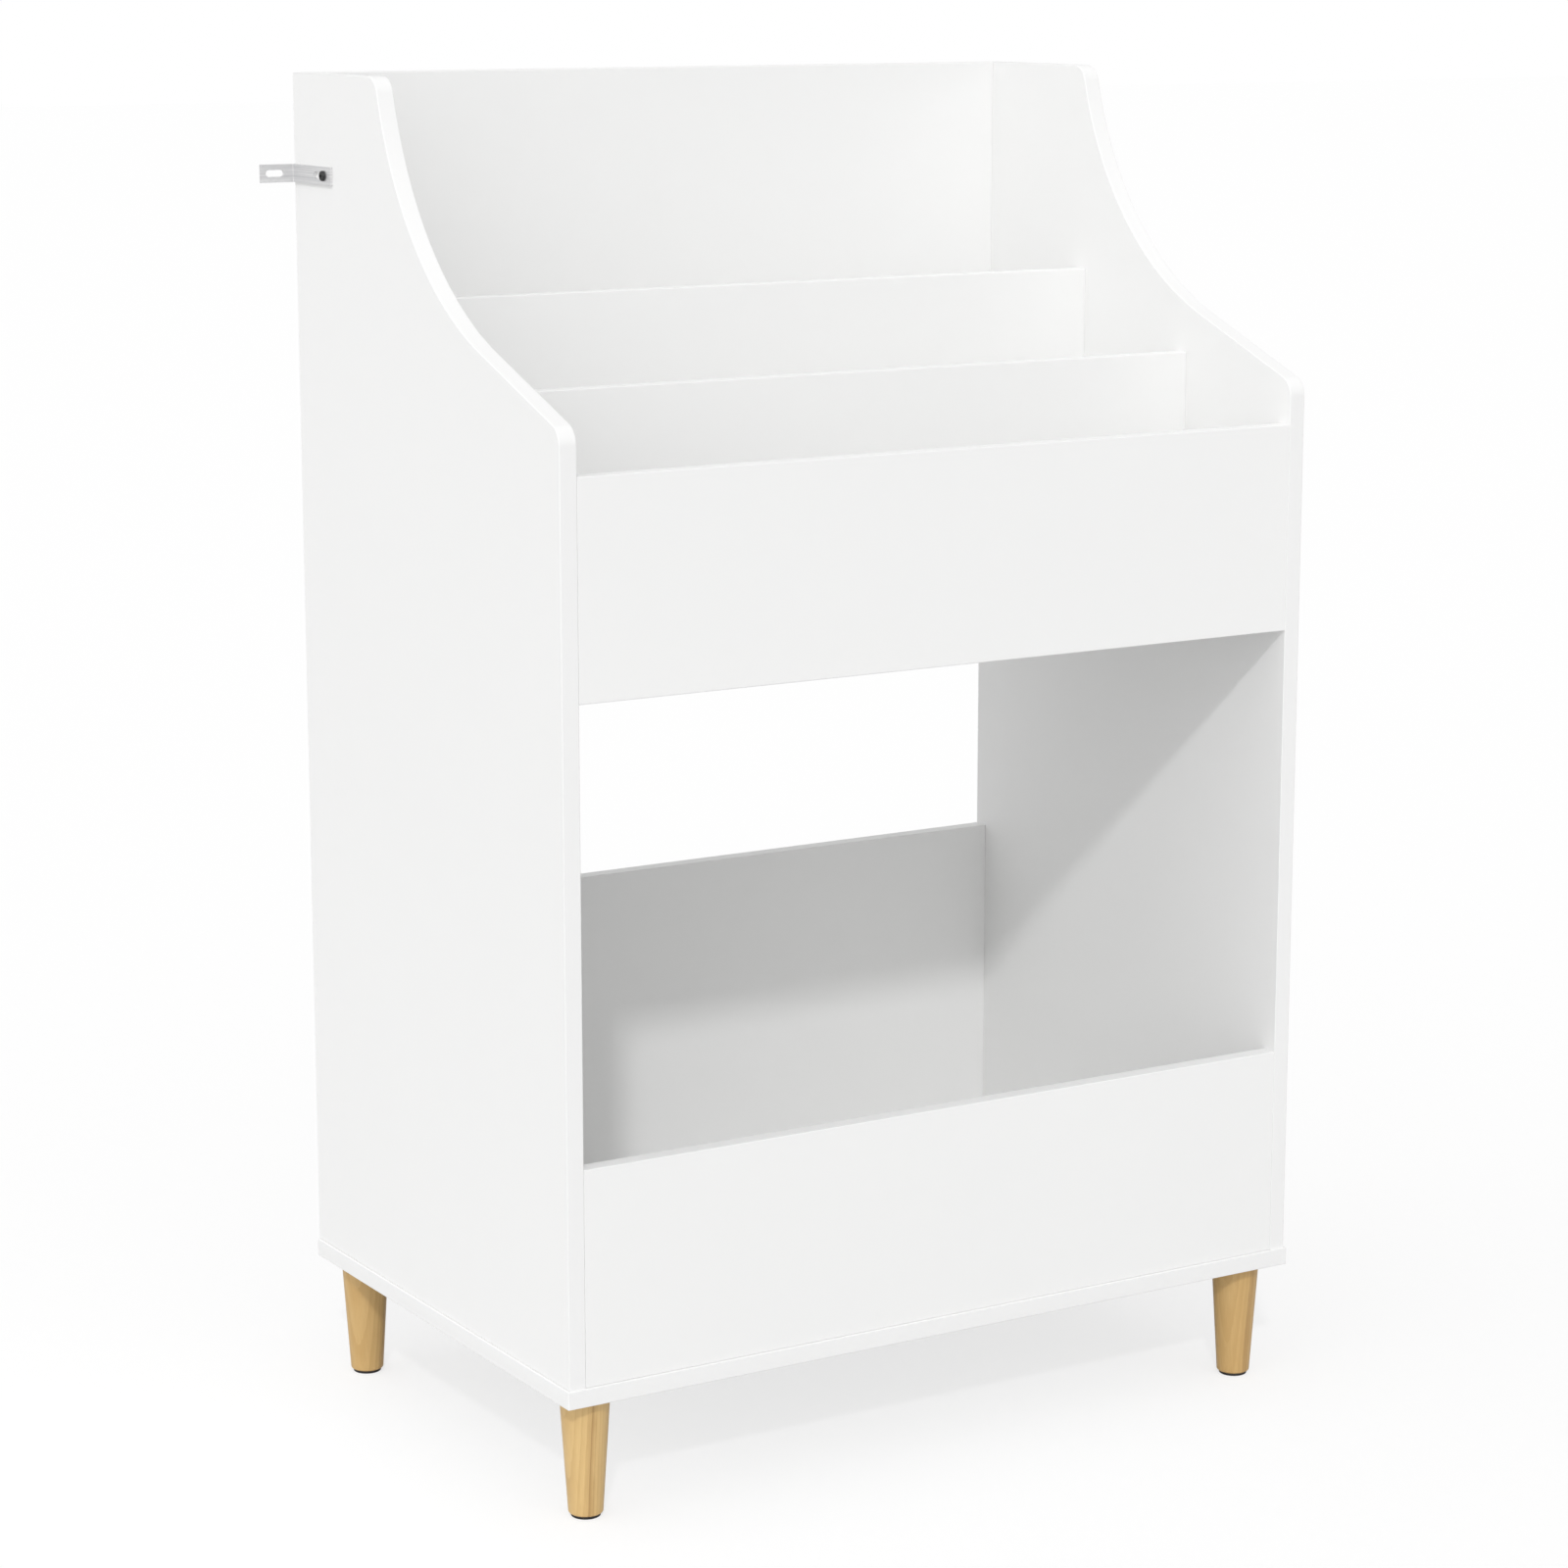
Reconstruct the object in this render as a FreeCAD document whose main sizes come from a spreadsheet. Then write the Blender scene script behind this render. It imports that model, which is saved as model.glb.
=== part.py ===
import FreeCAD, Part
import math
import os
import re
import Sketcher

# Free-standing shelf for record sleeves: two swept side panels carry three stepped display bins
# above an open bay, all standing on a base panel with four tapered legs.
# Frame: +Z up from the floor, front faces -Y, origin under the middle of the whole part.
doc = FreeCAD.newDocument("media_shelf")
sheet = doc.addObject("Spreadsheet::Sheet", "Sizes")

sizes = {
    # Boards
    "board_thickness": 15,
    "edge_ease": 0.6,
    "carcass_width": 706,
    "base_overhang": 2,
    # Clear depth of the three bins, front to back
    "front_bin_depth": 130,
    "middle_bin_depth": 136,
    "rear_bin_depth": 134,
    # Heights, stacked upwards from the base panel
    "lower_front_height": 178,
    "lower_back_height": 297,
    "bay_height": 545,
    "floor_rise": 60,
    "floor_step": 60,
    "floor_skirt": 13,
    "front_lip_height": 99,
    "middle_lip_height": 88,
    "rear_lip_height": 90,
    "back_rise": 178,
    # Swept front edge of the side panels
    "corner_rise": 35,
    "slope_run": 127,
    "slope_rise": 48,
    "top_flat": 156,
    "corner_radius": 16,
    # Legs and floor glides
    "leg_length": 100,
    "leg_top_diameter": 41,
    "leg_foot_diameter": 28,
    "leg_foot_ease": 2,
    "leg_inset": 29.5,
    "leg_bolt_diameter": 8,
    "leg_bolt_bite": 30,
    "insert_diameter": 12,
    "insert_cover": 2,
    "glide_diameter": 24,
    "glide_thickness": 2.5,
    "glide_ease": 0.8,
    "glide_pin_diameter": 2.5,
    "glide_pin_length": 12,
    # Hidden board fittings
    "fit_gap": 0.3,
    "bore_cover": 4,
    "fitting_edge": 37,
    "dowel_diameter": 8,
    "dowel_in_board": 20,
    "cam_diameter": 15,
    "cam_cover": 2.5,
    "cam_recess": 0.5,
    "cam_setback": 24,
    "cam_bolt_diameter": 7,
    "cam_bolt_past_centre": 2,
    "cam_thread_diameter": 5,
    # Screws through the base panel and through the uprights behind the bin floors
    "base_screw_inset": 75,
    "base_screw_diameter": 5,
    "base_screw_head_diameter": 10,
    "base_screw_head_height": 4,
    "base_screw_bite": 35,
    "floor_screw_diameter": 4,
    "floor_screw_head_diameter": 8,
    "floor_screw_head_height": 3,
    "floor_screw_bite": 25,
    "head_recess": 0.5,
    # Wall brackets
    "bracket_drop": 82.5,
    "bracket_height": 15,
    "bracket_thickness": 2,
    "bracket_bend_radius": 1,
    "bracket_side_arm": 73.5,
    "bracket_wall_arm": 32,
    "bracket_slot_width": 5.6,
    "wall_slot_length": 16,
    "wall_slot_reach": 19,
    "side_slot_length": 20,
    "bracket_screw_reach": 59.5,
    "bracket_screw_diameter": 4,
    "bracket_screw_head_diameter": 8.5,
    "bracket_screw_head_height": 2.2,
    "bracket_screw_bite": 11,
}
# Hidden rods and the bores that take them have flats all round, which keeps their face count low.
rod_flats = 8
bore_flats = 12
# Edges are found by their place to within this length.
edge_match = 0.01

for row, (name, number) in enumerate(sizes.items(), start=1):
    sheet.set(f"A{row}", name)
    sheet.set(f"B{row}", str(number))
    sheet.setAlias(f"B{row}", name)
doc.recompute()


def formula(text):
    """The sheet formula of a size written with the plain names of the sheet's cells."""
    return re.sub(r"[a-z_]+", lambda word: "Sizes." + word.group(), text)


def value(text):
    """The present value of such a size, used as a sketch's starting point."""
    return float(sheet.evalExpression(formula(text)))


# Places shared by several pieces. Depths count back from the front plane of the carcass,
# heights count up from the top of the base panel.
inner_width = "(carcass_width - 2 * board_thickness)"
half_inner = "(carcass_width / 2 - board_thickness)"
side_depth = "(4 * board_thickness + front_bin_depth + middle_bin_depth + rear_bin_depth)"
front_plane = f"((base_overhang - {side_depth}) / 2)"
base_underside = "(leg_length + glide_thickness)"
base_top = "(leg_length + glide_thickness + board_thickness)"
half_board = "(board_thickness / 2)"
screw_across = "(carcass_width / 4)"

middle_divider_depth = "(board_thickness + front_bin_depth)"
rear_divider_depth = "(2 * board_thickness + front_bin_depth + middle_bin_depth)"
back_depth = f"({side_depth} - board_thickness)"

front_floor_level = "(bay_height + floor_rise)"
middle_floor_level = "(bay_height + floor_rise + floor_step)"
rear_floor_level = "(bay_height + floor_rise + 2 * floor_step)"
side_height = f"({rear_floor_level} + board_thickness + rear_lip_height + back_rise)"
front_corner_height = f"({front_floor_level} + board_thickness + front_lip_height + corner_rise)"

upper_front_height = "(floor_rise + board_thickness + front_lip_height)"
middle_divider_height = "(floor_skirt + floor_step + board_thickness + middle_lip_height)"
rear_divider_height = "(floor_skirt + floor_step + board_thickness + rear_lip_height)"
upper_back_height = "(floor_skirt + board_thickness + rear_lip_height + back_rise)"

side_bore_depth = "(board_thickness - bore_cover)"
base_head_bore = "(base_screw_head_height + head_recess)"
floor_head_bore = "(floor_screw_head_height + head_recess)"
insert_bore_depth = "(board_thickness - insert_cover)"


def new_body(label, across="0", depth="0", height="0"):
    """An empty body standing at its own place in the part."""
    body = doc.addObject("PartDesign::Body", label)
    body.Label = label
    body.AllowCompound = True
    for axis, text in zip("xyz", (across, depth, height)):
        body.setExpression("Placement.Base." + axis, formula(text))
    return body


def origin_plane(body, role):
    return next(item for item in body.Origin.OriginFeatures if item.Role == role)


def new_sketch(body, role, offset="0"):
    """A sketch parallel to one of the body's own planes."""
    sketch = body.newObject("Sketcher::SketchObject", body.Name + "_sketch")
    sketch.AttachmentSupport = (origin_plane(body, role), [""])
    sketch.MapMode = "FlatFace"
    sketch.setExpression("AttachmentOffset.Base.z", formula(offset))
    return sketch


def bind(sketch, constraint, text):
    """Adds a dimension to a sketch and ties it to the sheet."""
    index = sketch.addConstraint(constraint)
    sketch.setExpression(f"Constraints[{index}]", formula(text))


def closed_outline(sketch, points):
    """Straight lines from point to point, joined at their ends. Gives the first line's number."""
    vectors = [FreeCAD.Vector(x, y, 0) for x, y in points]
    first = sketch.GeometryCount
    for start, end in zip(vectors, vectors[1:] + vectors[:1]):
        line = sketch.addGeometry(Part.LineSegment(start, end))
        if abs(start.y - end.y) < 1e-9:
            sketch.addConstraint(Sketcher.Constraint("Horizontal", line))
        if abs(start.x - end.x) < 1e-9:
            sketch.addConstraint(Sketcher.Constraint("Vertical", line))
    count = len(vectors)
    for step in range(count):
        following = first + (step + 1) % count
        sketch.addConstraint(Sketcher.Constraint("Coincident", first + step, 2, following, 1))
    return first


def centred_rectangle(sketch, width, height):
    """A rectangle standing on the sketch's level axis, equal to both sides of its upright axis."""
    half = value(width) / 2
    top = value(height)
    first = closed_outline(sketch, [(-half, 0), (half, 0), (half, top), (-half, top)])
    sketch.addConstraint(Sketcher.Constraint("Symmetric", first, 1, first, 2, -1, 1))
    bind(sketch, Sketcher.Constraint("DistanceX", first, 1, first, 2, 2 * half), width)
    bind(sketch, Sketcher.Constraint("DistanceY", first + 1, 1, first + 1, 2, top), height)


def circles(sketch, centres, diameter, guide=False):
    """Equal circles, drawn as part of the outline or as guide lines. Gives their numbers."""
    radius = f"({diameter}) / 2"
    numbers = []
    for across, up in centres:
        centre = FreeCAD.Vector(value(across), value(up), 0)
        circle = sketch.addGeometry(Part.Circle(centre, FreeCAD.Vector(0, 0, 1), value(radius)), guide)
        numbers.append(circle)
        bind(sketch, Sketcher.Constraint("Radius", circle, value(radius)), radius)
        if across == "0" and up == "0":
            sketch.addConstraint(Sketcher.Constraint("Coincident", circle, 3, -1, 1))
            continue
        bind(sketch, Sketcher.Constraint("DistanceX", -1, 1, circle, 3, centre.x), across)
        bind(sketch, Sketcher.Constraint("DistanceY", -1, 1, circle, 3, centre.y), up)
    return numbers


def flat_sided(sketch, centres, diameter, flats):
    """Equal many-sided outlines with their corners on circles of the diameter."""
    for circle in circles(sketch, centres, diameter, True):
        guide = sketch.Geometry[circle]
        first = sketch.GeometryCount
        turns = [(corner - 0.5) * 2 * math.pi / flats for corner in range(flats + 1)]
        spokes = [FreeCAD.Vector(math.cos(turn), math.sin(turn), 0) for turn in turns]
        corners = [guide.Center + spoke * guide.Radius for spoke in spokes]
        sketch.addGeometry([Part.LineSegment(*ends) for ends in zip(corners, corners[1:])])
        ties = [Sketcher.Constraint("Vertical", first)]
        for step in range(flats):
            following = first + (step + 1) % flats
            ties.append(Sketcher.Constraint("Coincident", first + step, 2, following, 1))
            ties.append(Sketcher.Constraint("PointOnObject", first + step, 1, circle))
        ties += [Sketcher.Constraint("Equal", first, first + step) for step in range(1, flats)]
        sketch.addConstraint(ties)


def pad(body, sketch, length, reverse=False):
    feature = body.newObject("PartDesign::Pad", body.Name + "_pad")
    feature.Profile = sketch
    feature.Reversed = reverse
    feature.setExpression("Length", formula(length))
    doc.recompute()
    return feature


def pocket(body, sketch, depth, reverse=False):
    """Cuts a sketch into the body and makes sure that it took material away."""
    before = body.Shape.Volume
    feature = body.newObject("PartDesign::Pocket", body.Name + "_pocket")
    feature.Profile = sketch
    feature.Reversed = reverse
    feature.setExpression("Length", formula(depth))
    doc.recompute()
    if body.Shape.Volume >= before:
        raise RuntimeError(body.Label + ": a cut missed the board")
    return feature


def drill(body, role, offset, centres, diameter, depth, reverse=False, flats=bore_flats):
    """Holes with the common fitting gap, drilled from a plane of the body."""
    sketch = new_sketch(body, role, offset)
    flat_sided(sketch, centres, f"{diameter} + 2 * fit_gap", flats)
    return pocket(body, sketch, depth, reverse)


def round_rods(body, role, offset, centres, diameter, length):
    """Round rods of one diameter, all starting from a plane of the body."""
    sketch = new_sketch(body, role, offset)
    circles(sketch, centres, diameter)
    return pad(body, sketch, length)


def rods(body, role, offset, centres, diameter, length, reverse=False):
    """Hidden rods with flats all round, all starting from a plane of the body."""
    sketch = new_sketch(body, role, offset)
    flat_sided(sketch, centres, diameter, rod_flats)
    return pad(body, sketch, length, reverse)


def dress_edges(body, kind, feature, wanted, size_name, size):
    """A chamfer or fillet along the wanted edges of a body's latest feature."""
    edges = enumerate(feature.Shape.Edges, start=1)
    names = [f"Edge{number}" for number, edge in edges if wanted(edge)]
    dressed = body.newObject("PartDesign::" + kind, body.Name + "_" + kind.lower())
    dressed.Base = (feature, names)
    dressed.setExpression(size_name, formula(size))
    doc.recompute()
    return dressed


def repeat_on_left(body, features):
    """Repeats what was made on the right half on the left half."""
    mirrored = body.newObject("PartDesign::Mirrored", body.Name + "_mirrored")
    mirrored.Originals = features
    mirrored.MirrorPlane = (origin_plane(body, "YZ_Plane"), [""])
    body.Tip = mirrored
    doc.recompute()


def mirrored_piece(label, source):
    """The left-hand piece of a pair."""
    piece = doc.addObject("Part::Mirroring", label)
    piece.Label = label
    piece.Source = source
    piece.Normal = FreeCAD.Vector(1, 0, 0)
    doc.recompute()
    return piece


def runs_across(edge):
    """True for an edge that runs from side to side, along a board or through a side panel."""
    return edge.BoundBox.XLength > value("board_thickness") / 2


# Upright boards between the sides: depth of the front face, height of the lower edge, height of the
# board, then the heights of its cam fittings and dowels above its own lower edge.
upright_boards = {
    "lower_front_panel": (
        "0", "0", "lower_front_height",
        ["lower_front_height - fitting_edge"], ["fitting_edge"],
    ),
    "lower_back_panel": (
        back_depth, "0", "lower_back_height",
        ["lower_back_height - fitting_edge"], ["fitting_edge"],
    ),
    "upper_front_panel": (
        "0", "bay_height", upper_front_height,
        ["floor_rise / 2"], [f"{upper_front_height} - fitting_edge"],
    ),
    "middle_divider": (
        middle_divider_depth, f"({front_floor_level} - floor_skirt)", middle_divider_height,
        ["fitting_edge"], [f"{middle_divider_height} - fitting_edge"],
    ),
    "rear_divider": (
        rear_divider_depth, f"({middle_floor_level} - floor_skirt)", rear_divider_height,
        ["fitting_edge"], [f"{rear_divider_height} - fitting_edge"],
    ),
    "upper_back_panel": (
        back_depth, f"({rear_floor_level} - floor_skirt)", upper_back_height,
        ["fitting_edge", f"{upper_back_height} - fitting_edge"], [f"{upper_back_height} / 2"],
    ),
}

# Bin floors: depth of the front edge, height of the underside, clear depth, and the upright behind.
bin_floors = {
    "front_bin_floor": ("board_thickness", front_floor_level, "front_bin_depth", "middle_divider"),
    "middle_bin_floor": (
        f"({middle_divider_depth} + board_thickness)", middle_floor_level,
        "middle_bin_depth", "rear_divider",
    ),
    "rear_bin_floor": (
        f"({rear_divider_depth} + board_thickness)", rear_floor_level,
        "rear_bin_depth", "upper_back_panel",
    ),
}

# The same fitting places serve the side panels, the boards and the fittings themselves.
cam_places = []
dowel_places = []
for depth, height, tall_text, cams, dowels in upright_boards.values():
    cam_places += [(f"{depth} + {half_board}", f"{height} + {cam}") for cam in cams]
    dowel_places += [(f"{depth} + {half_board}", f"{height} + {dowel}") for dowel in dowels]
for depth, height, deep_text, behind in bin_floors.values():
    for along in ("fitting_edge", f"{deep_text} - fitting_edge"):
        dowel_places.append((f"{depth} + {along}", f"{height} + {half_board}"))

side_screw_depths = ["base_screw_inset", f"{side_depth} / 2", f"{side_depth} - base_screw_inset"]
base_screw_places = [(f"{half_inner} + {half_board}", depth) for depth in side_screw_depths]
base_screw_places += [(screw_across, half_board), (screw_across, f"{side_depth} - {half_board}")]
leg_across = "carcass_width / 2 - leg_inset"
leg_depths = {"front": "leg_inset", "rear": f"{side_depth} - leg_inset"}
leg_places = [(leg_across, depth) for depth in leg_depths.values()]
bracket_level = f"({side_height} - bracket_drop)"
bracket_screw_place = (f"{side_depth} - bracket_screw_reach", bracket_level)

pieces = []

# Base panel: a little larger than the carcass, drilled for the screws and the leg inserts.
base = new_body("base_panel", "0", f"{front_plane} - base_overhang", base_underside)
base_sketch = new_sketch(base, "XY_Plane")
centred_rectangle(base_sketch, "carcass_width + 2 * base_overhang", f"{side_depth} + base_overhang")
base_pad = pad(base, base_sketch, "board_thickness")
dress_edges(base, "Chamfer", base_pad, lambda edge: True, "Size", "edge_ease")
screws_in_base = [(across, f"{depth} + base_overhang") for across, depth in base_screw_places]
legs_in_base = [(across, f"{depth} + base_overhang") for across, depth in leg_places]
base_drillings = [
    drill(base, "XY_Plane", "0", screws_in_base, "base_screw_diameter", "board_thickness", True),
    drill(base, "XY_Plane", "0", screws_in_base, "base_screw_head_diameter", base_head_bore, True),
    drill(base, "XY_Plane", "0", legs_in_base, "insert_diameter", insert_bore_depth, True),
]
repeat_on_left(base, base_drillings)
pieces.append(base)

# Side panels: a flat top at the back, a concave sweep and a gentle slope to the front edge.
side = new_body("right_side_panel", half_inner, front_plane, base_top)
side_sketch = new_sketch(side, "YZ_Plane")
panel_depth = value(side_depth)
panel_height = value(side_height)
front_top = value(front_corner_height)
slope_end = FreeCAD.Vector(value("slope_run"), front_top + value("slope_rise"), 0)
top_end = FreeCAD.Vector(panel_depth - value("top_flat"), panel_height, 0)
slope_direction = FreeCAD.Vector(slope_end.x, slope_end.y - front_top, 0).normalize()
slope_normal = FreeCAD.Vector(-slope_direction.y, slope_direction.x, 0)
chord = top_end - slope_end
sweep_radius = chord.dot(chord) / (2 * chord.dot(slope_normal))
sweep_centre = slope_end + slope_normal * sweep_radius
from_centre = (slope_end - sweep_centre).normalize() + (top_end - sweep_centre).normalize()
sweep_middle = sweep_centre + from_centre.normalize() * sweep_radius
side_lines = [
    ((0, front_top), (0, 0)),
    ((0, 0), (panel_depth, 0)),
    ((panel_depth, 0), (panel_depth, panel_height)),
    ((panel_depth, panel_height), (top_end.x, panel_height)),
]
for start, end in side_lines:
    side_sketch.addGeometry(Part.LineSegment(FreeCAD.Vector(*start, 0), FreeCAD.Vector(*end, 0)))
sweep = side_sketch.addGeometry(Part.Arc(slope_end, sweep_middle, top_end))
slope = side_sketch.addGeometry(Part.LineSegment(slope_end, FreeCAD.Vector(0, front_top, 0)))
for line in range(3):
    side_sketch.addConstraint(Sketcher.Constraint("Coincident", line, 2, line + 1, 1))
side_sketch.addConstraint(Sketcher.Constraint("Coincident", 3, 2, sweep, 2))
side_sketch.addConstraint(Sketcher.Constraint("Tangent", sweep, 1, slope, 1))
side_sketch.addConstraint(Sketcher.Constraint("Coincident", slope, 2, 0, 1))
side_sketch.addConstraint(Sketcher.Constraint("Coincident", 1, 1, -1, 1))
for line, direction in enumerate(("Vertical", "Horizontal", "Vertical", "Horizontal")):
    side_sketch.addConstraint(Sketcher.Constraint(direction, line))
bind(side_sketch, Sketcher.Constraint("DistanceY", 0, 2, 0, 1, front_top), front_corner_height)
bind(side_sketch, Sketcher.Constraint("DistanceX", 1, 1, 1, 2, panel_depth), side_depth)
bind(side_sketch, Sketcher.Constraint("DistanceY", 2, 1, 2, 2, panel_height), side_height)
bind(side_sketch, Sketcher.Constraint("DistanceX", 3, 2, 3, 1, value("top_flat")), "top_flat")
bind(side_sketch, Sketcher.Constraint("DistanceX", slope, 2, slope, 1, slope_end.x), "slope_run")
bind(side_sketch, Sketcher.Constraint("DistanceY", slope, 2, slope, 1, value("slope_rise")), "slope_rise")
side_pad = pad(side, side_sketch, "board_thickness")


def at_swept_corner(edge):
    """True for the edges through the board at the two ends of the swept front."""
    middle = edge.CenterOfMass
    corners = [(0, front_top), (top_end.x, panel_height)]
    return any(abs(middle.y - depth) + abs(middle.z - height) < edge_match for depth, height in corners)


side_rounded = dress_edges(side, "Fillet", side_pad, at_swept_corner, "Radius", "corner_radius")
dress_edges(side, "Chamfer", side_rounded, lambda edge: not runs_across(edge), "Size", "edge_ease")
side_screws = [(half_board, depth) for depth in side_screw_depths]
drill(side, "YZ_Plane", "0", dowel_places, "dowel_diameter", side_bore_depth, True)
drill(side, "YZ_Plane", "0", cam_places, "cam_thread_diameter", side_bore_depth, True)
drill(side, "XY_Plane", "0", side_screws, "base_screw_diameter", "base_screw_bite + fit_gap", True)
drill(side, "YZ_Plane", "board_thickness", [bracket_screw_place], "bracket_screw_diameter",
      "bracket_screw_bite + fit_gap")
pieces.append(side)
pieces.append(mirrored_piece("left_side_panel", side))

# Upright boards: lower front and back, upper front, the two dividers and the upper back.
floor_level_before = {behind: level for depth, level, deep_text, behind in bin_floors.values()}
for label, (depth, height, tall_text, cams, dowels) in upright_boards.items():
    board = new_body(label, "0", f"{front_plane} + {depth}", f"{base_top} + {height}")
    board_sketch = new_sketch(board, "XZ_Plane")
    centred_rectangle(board_sketch, inner_width, tall_text)
    board_pad = pad(board, board_sketch, "board_thickness", True)
    dress_edges(board, "Chamfer", board_pad, runs_across, "Size", "edge_ease")
    cam_bores = [(f"{half_inner} - cam_setback", cam) for cam in cams]
    bolt_bores = [(half_board, cam) for cam in cams]
    dowel_bores = [(half_board, dowel) for dowel in dowels]
    dowel_bore_depth = "dowel_in_board + fit_gap"
    drillings = [
        drill(board, "XZ_Plane", "-board_thickness", cam_bores, "cam_diameter",
              "board_thickness - cam_cover", True),
        drill(board, "YZ_Plane", half_inner, bolt_bores, "cam_bolt_diameter", "cam_setback"),
        drill(board, "YZ_Plane", half_inner, dowel_bores, "dowel_diameter", dowel_bore_depth),
    ]
    if label in floor_level_before:
        screw_place = [(screw_across, f"{floor_level_before[label]} + {half_board} - {height}")]
        drillings += [
            drill(board, "XZ_Plane", "-board_thickness", screw_place, "floor_screw_head_diameter",
                  floor_head_bore, True),
            drill(board, "XZ_Plane", "-board_thickness", screw_place, "floor_screw_diameter",
                  "board_thickness", True),
        ]
    if label in ("lower_front_panel", "lower_back_panel"):
        drillings.append(drill(board, "XY_Plane", "0", [(screw_across, half_board)], "base_screw_diameter",
                               "base_screw_bite + fit_gap", True))
    repeat_on_left(board, drillings)
    pieces.append(board)

# Bin floors: each one step higher than the floor in front of it.
for label, (depth, height, deep_text, behind) in bin_floors.items():
    board = new_body(label, "0", f"{front_plane} + {depth}", f"{base_top} + {height}")
    board_sketch = new_sketch(board, "XY_Plane")
    centred_rectangle(board_sketch, inner_width, deep_text)
    board_pad = pad(board, board_sketch, "board_thickness")
    dowel_bores = [(along, half_board) for along in ("fitting_edge", f"{deep_text} - fitting_edge")]
    drillings = [
        drill(board, "YZ_Plane", half_inner, dowel_bores, "dowel_diameter", "dowel_in_board + fit_gap"),
        drill(board, "XZ_Plane", f"-{deep_text}", [(screw_across, half_board)], "floor_screw_diameter",
              "floor_screw_bite + fit_gap", True),
    ]
    repeat_on_left(board, drillings)
    pieces.append(board)

# Hidden fittings between the boards and the sides: dowels, cam bolts and the cams that draw them in.
dowel_group = new_body("dowels", "0", front_plane, base_top)
dowel_rods = rods(dowel_group, "YZ_Plane", f"{half_inner} - dowel_in_board", dowel_places, "dowel_diameter",
                  f"dowel_in_board + {side_bore_depth} - fit_gap")
repeat_on_left(dowel_group, [dowel_rods])
pieces.append(dowel_group)

bolt_group = new_body("cam_bolts", "0", front_plane, base_top)
bolt_reach = "cam_setback + cam_bolt_past_centre"
bolt_rods = [
    rods(bolt_group, "YZ_Plane", half_inner, cam_places, "cam_bolt_diameter", bolt_reach, True),
    rods(bolt_group, "YZ_Plane", half_inner, cam_places, "cam_thread_diameter",
         f"{side_bore_depth} - fit_gap"),
]
repeat_on_left(bolt_group, bolt_rods)
pieces.append(bolt_group)

cam_group = new_body("cam_locks", "0", front_plane, base_top)
cam_discs = []
for depth, height, tall_text, cams, dowels in upright_boards.values():
    cam_centres = [(f"{half_inner} - cam_setback", f"{height} + {cam}") for cam in cams]
    cam_discs.append(rods(cam_group, "XZ_Plane", f"-({depth} + cam_cover)", cam_centres, "cam_diameter",
                          "board_thickness - cam_cover - cam_recess", True))
cam_discs.append(drill(cam_group, "YZ_Plane", half_inner, cam_places, "cam_bolt_diameter",
                       f"{bolt_reach} + fit_gap", flats=rod_flats))
repeat_on_left(cam_group, cam_discs)
pieces.append(cam_group)

# Screws from below into the sides and the two lower boards.
base_screws = new_body("base_screws", "0", front_plane, base_underside)
base_screw_rods = [
    rods(base_screws, "XY_Plane", "head_recess", base_screw_places, "base_screw_head_diameter",
         "base_screw_head_height"),
    rods(base_screws, "XY_Plane", base_head_bore, base_screw_places, "base_screw_diameter",
         f"board_thickness - {base_head_bore} + base_screw_bite"),
]
repeat_on_left(base_screws, base_screw_rods)
pieces.append(base_screws)

# Screws through each upright into the rear edge of the floor in front of it.
floor_screws = new_body("floor_screws", "0", front_plane, base_top)
floor_screw_rods = []
for depth, height, deep_text, behind in bin_floors.values():
    upright_rear = f"({depth} + {deep_text} + board_thickness)"
    screw_place = [(screw_across, f"{height} + {half_board}")]
    floor_screw_rods += [
        rods(floor_screws, "XZ_Plane", f"-({upright_rear} - head_recess)", screw_place,
             "floor_screw_head_diameter", "floor_screw_head_height"),
        rods(floor_screws, "XZ_Plane", f"-({upright_rear} - {floor_head_bore})", screw_place,
             "floor_screw_diameter", f"board_thickness - {floor_head_bore} + floor_screw_bite"),
    ]
repeat_on_left(floor_screws, floor_screw_rods)
pieces.append(floor_screws)


def round_the_foot(edge):
    """True for the lowest edge of a leg or a glide."""
    return edge.BoundBox.ZMax < edge_match


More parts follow.
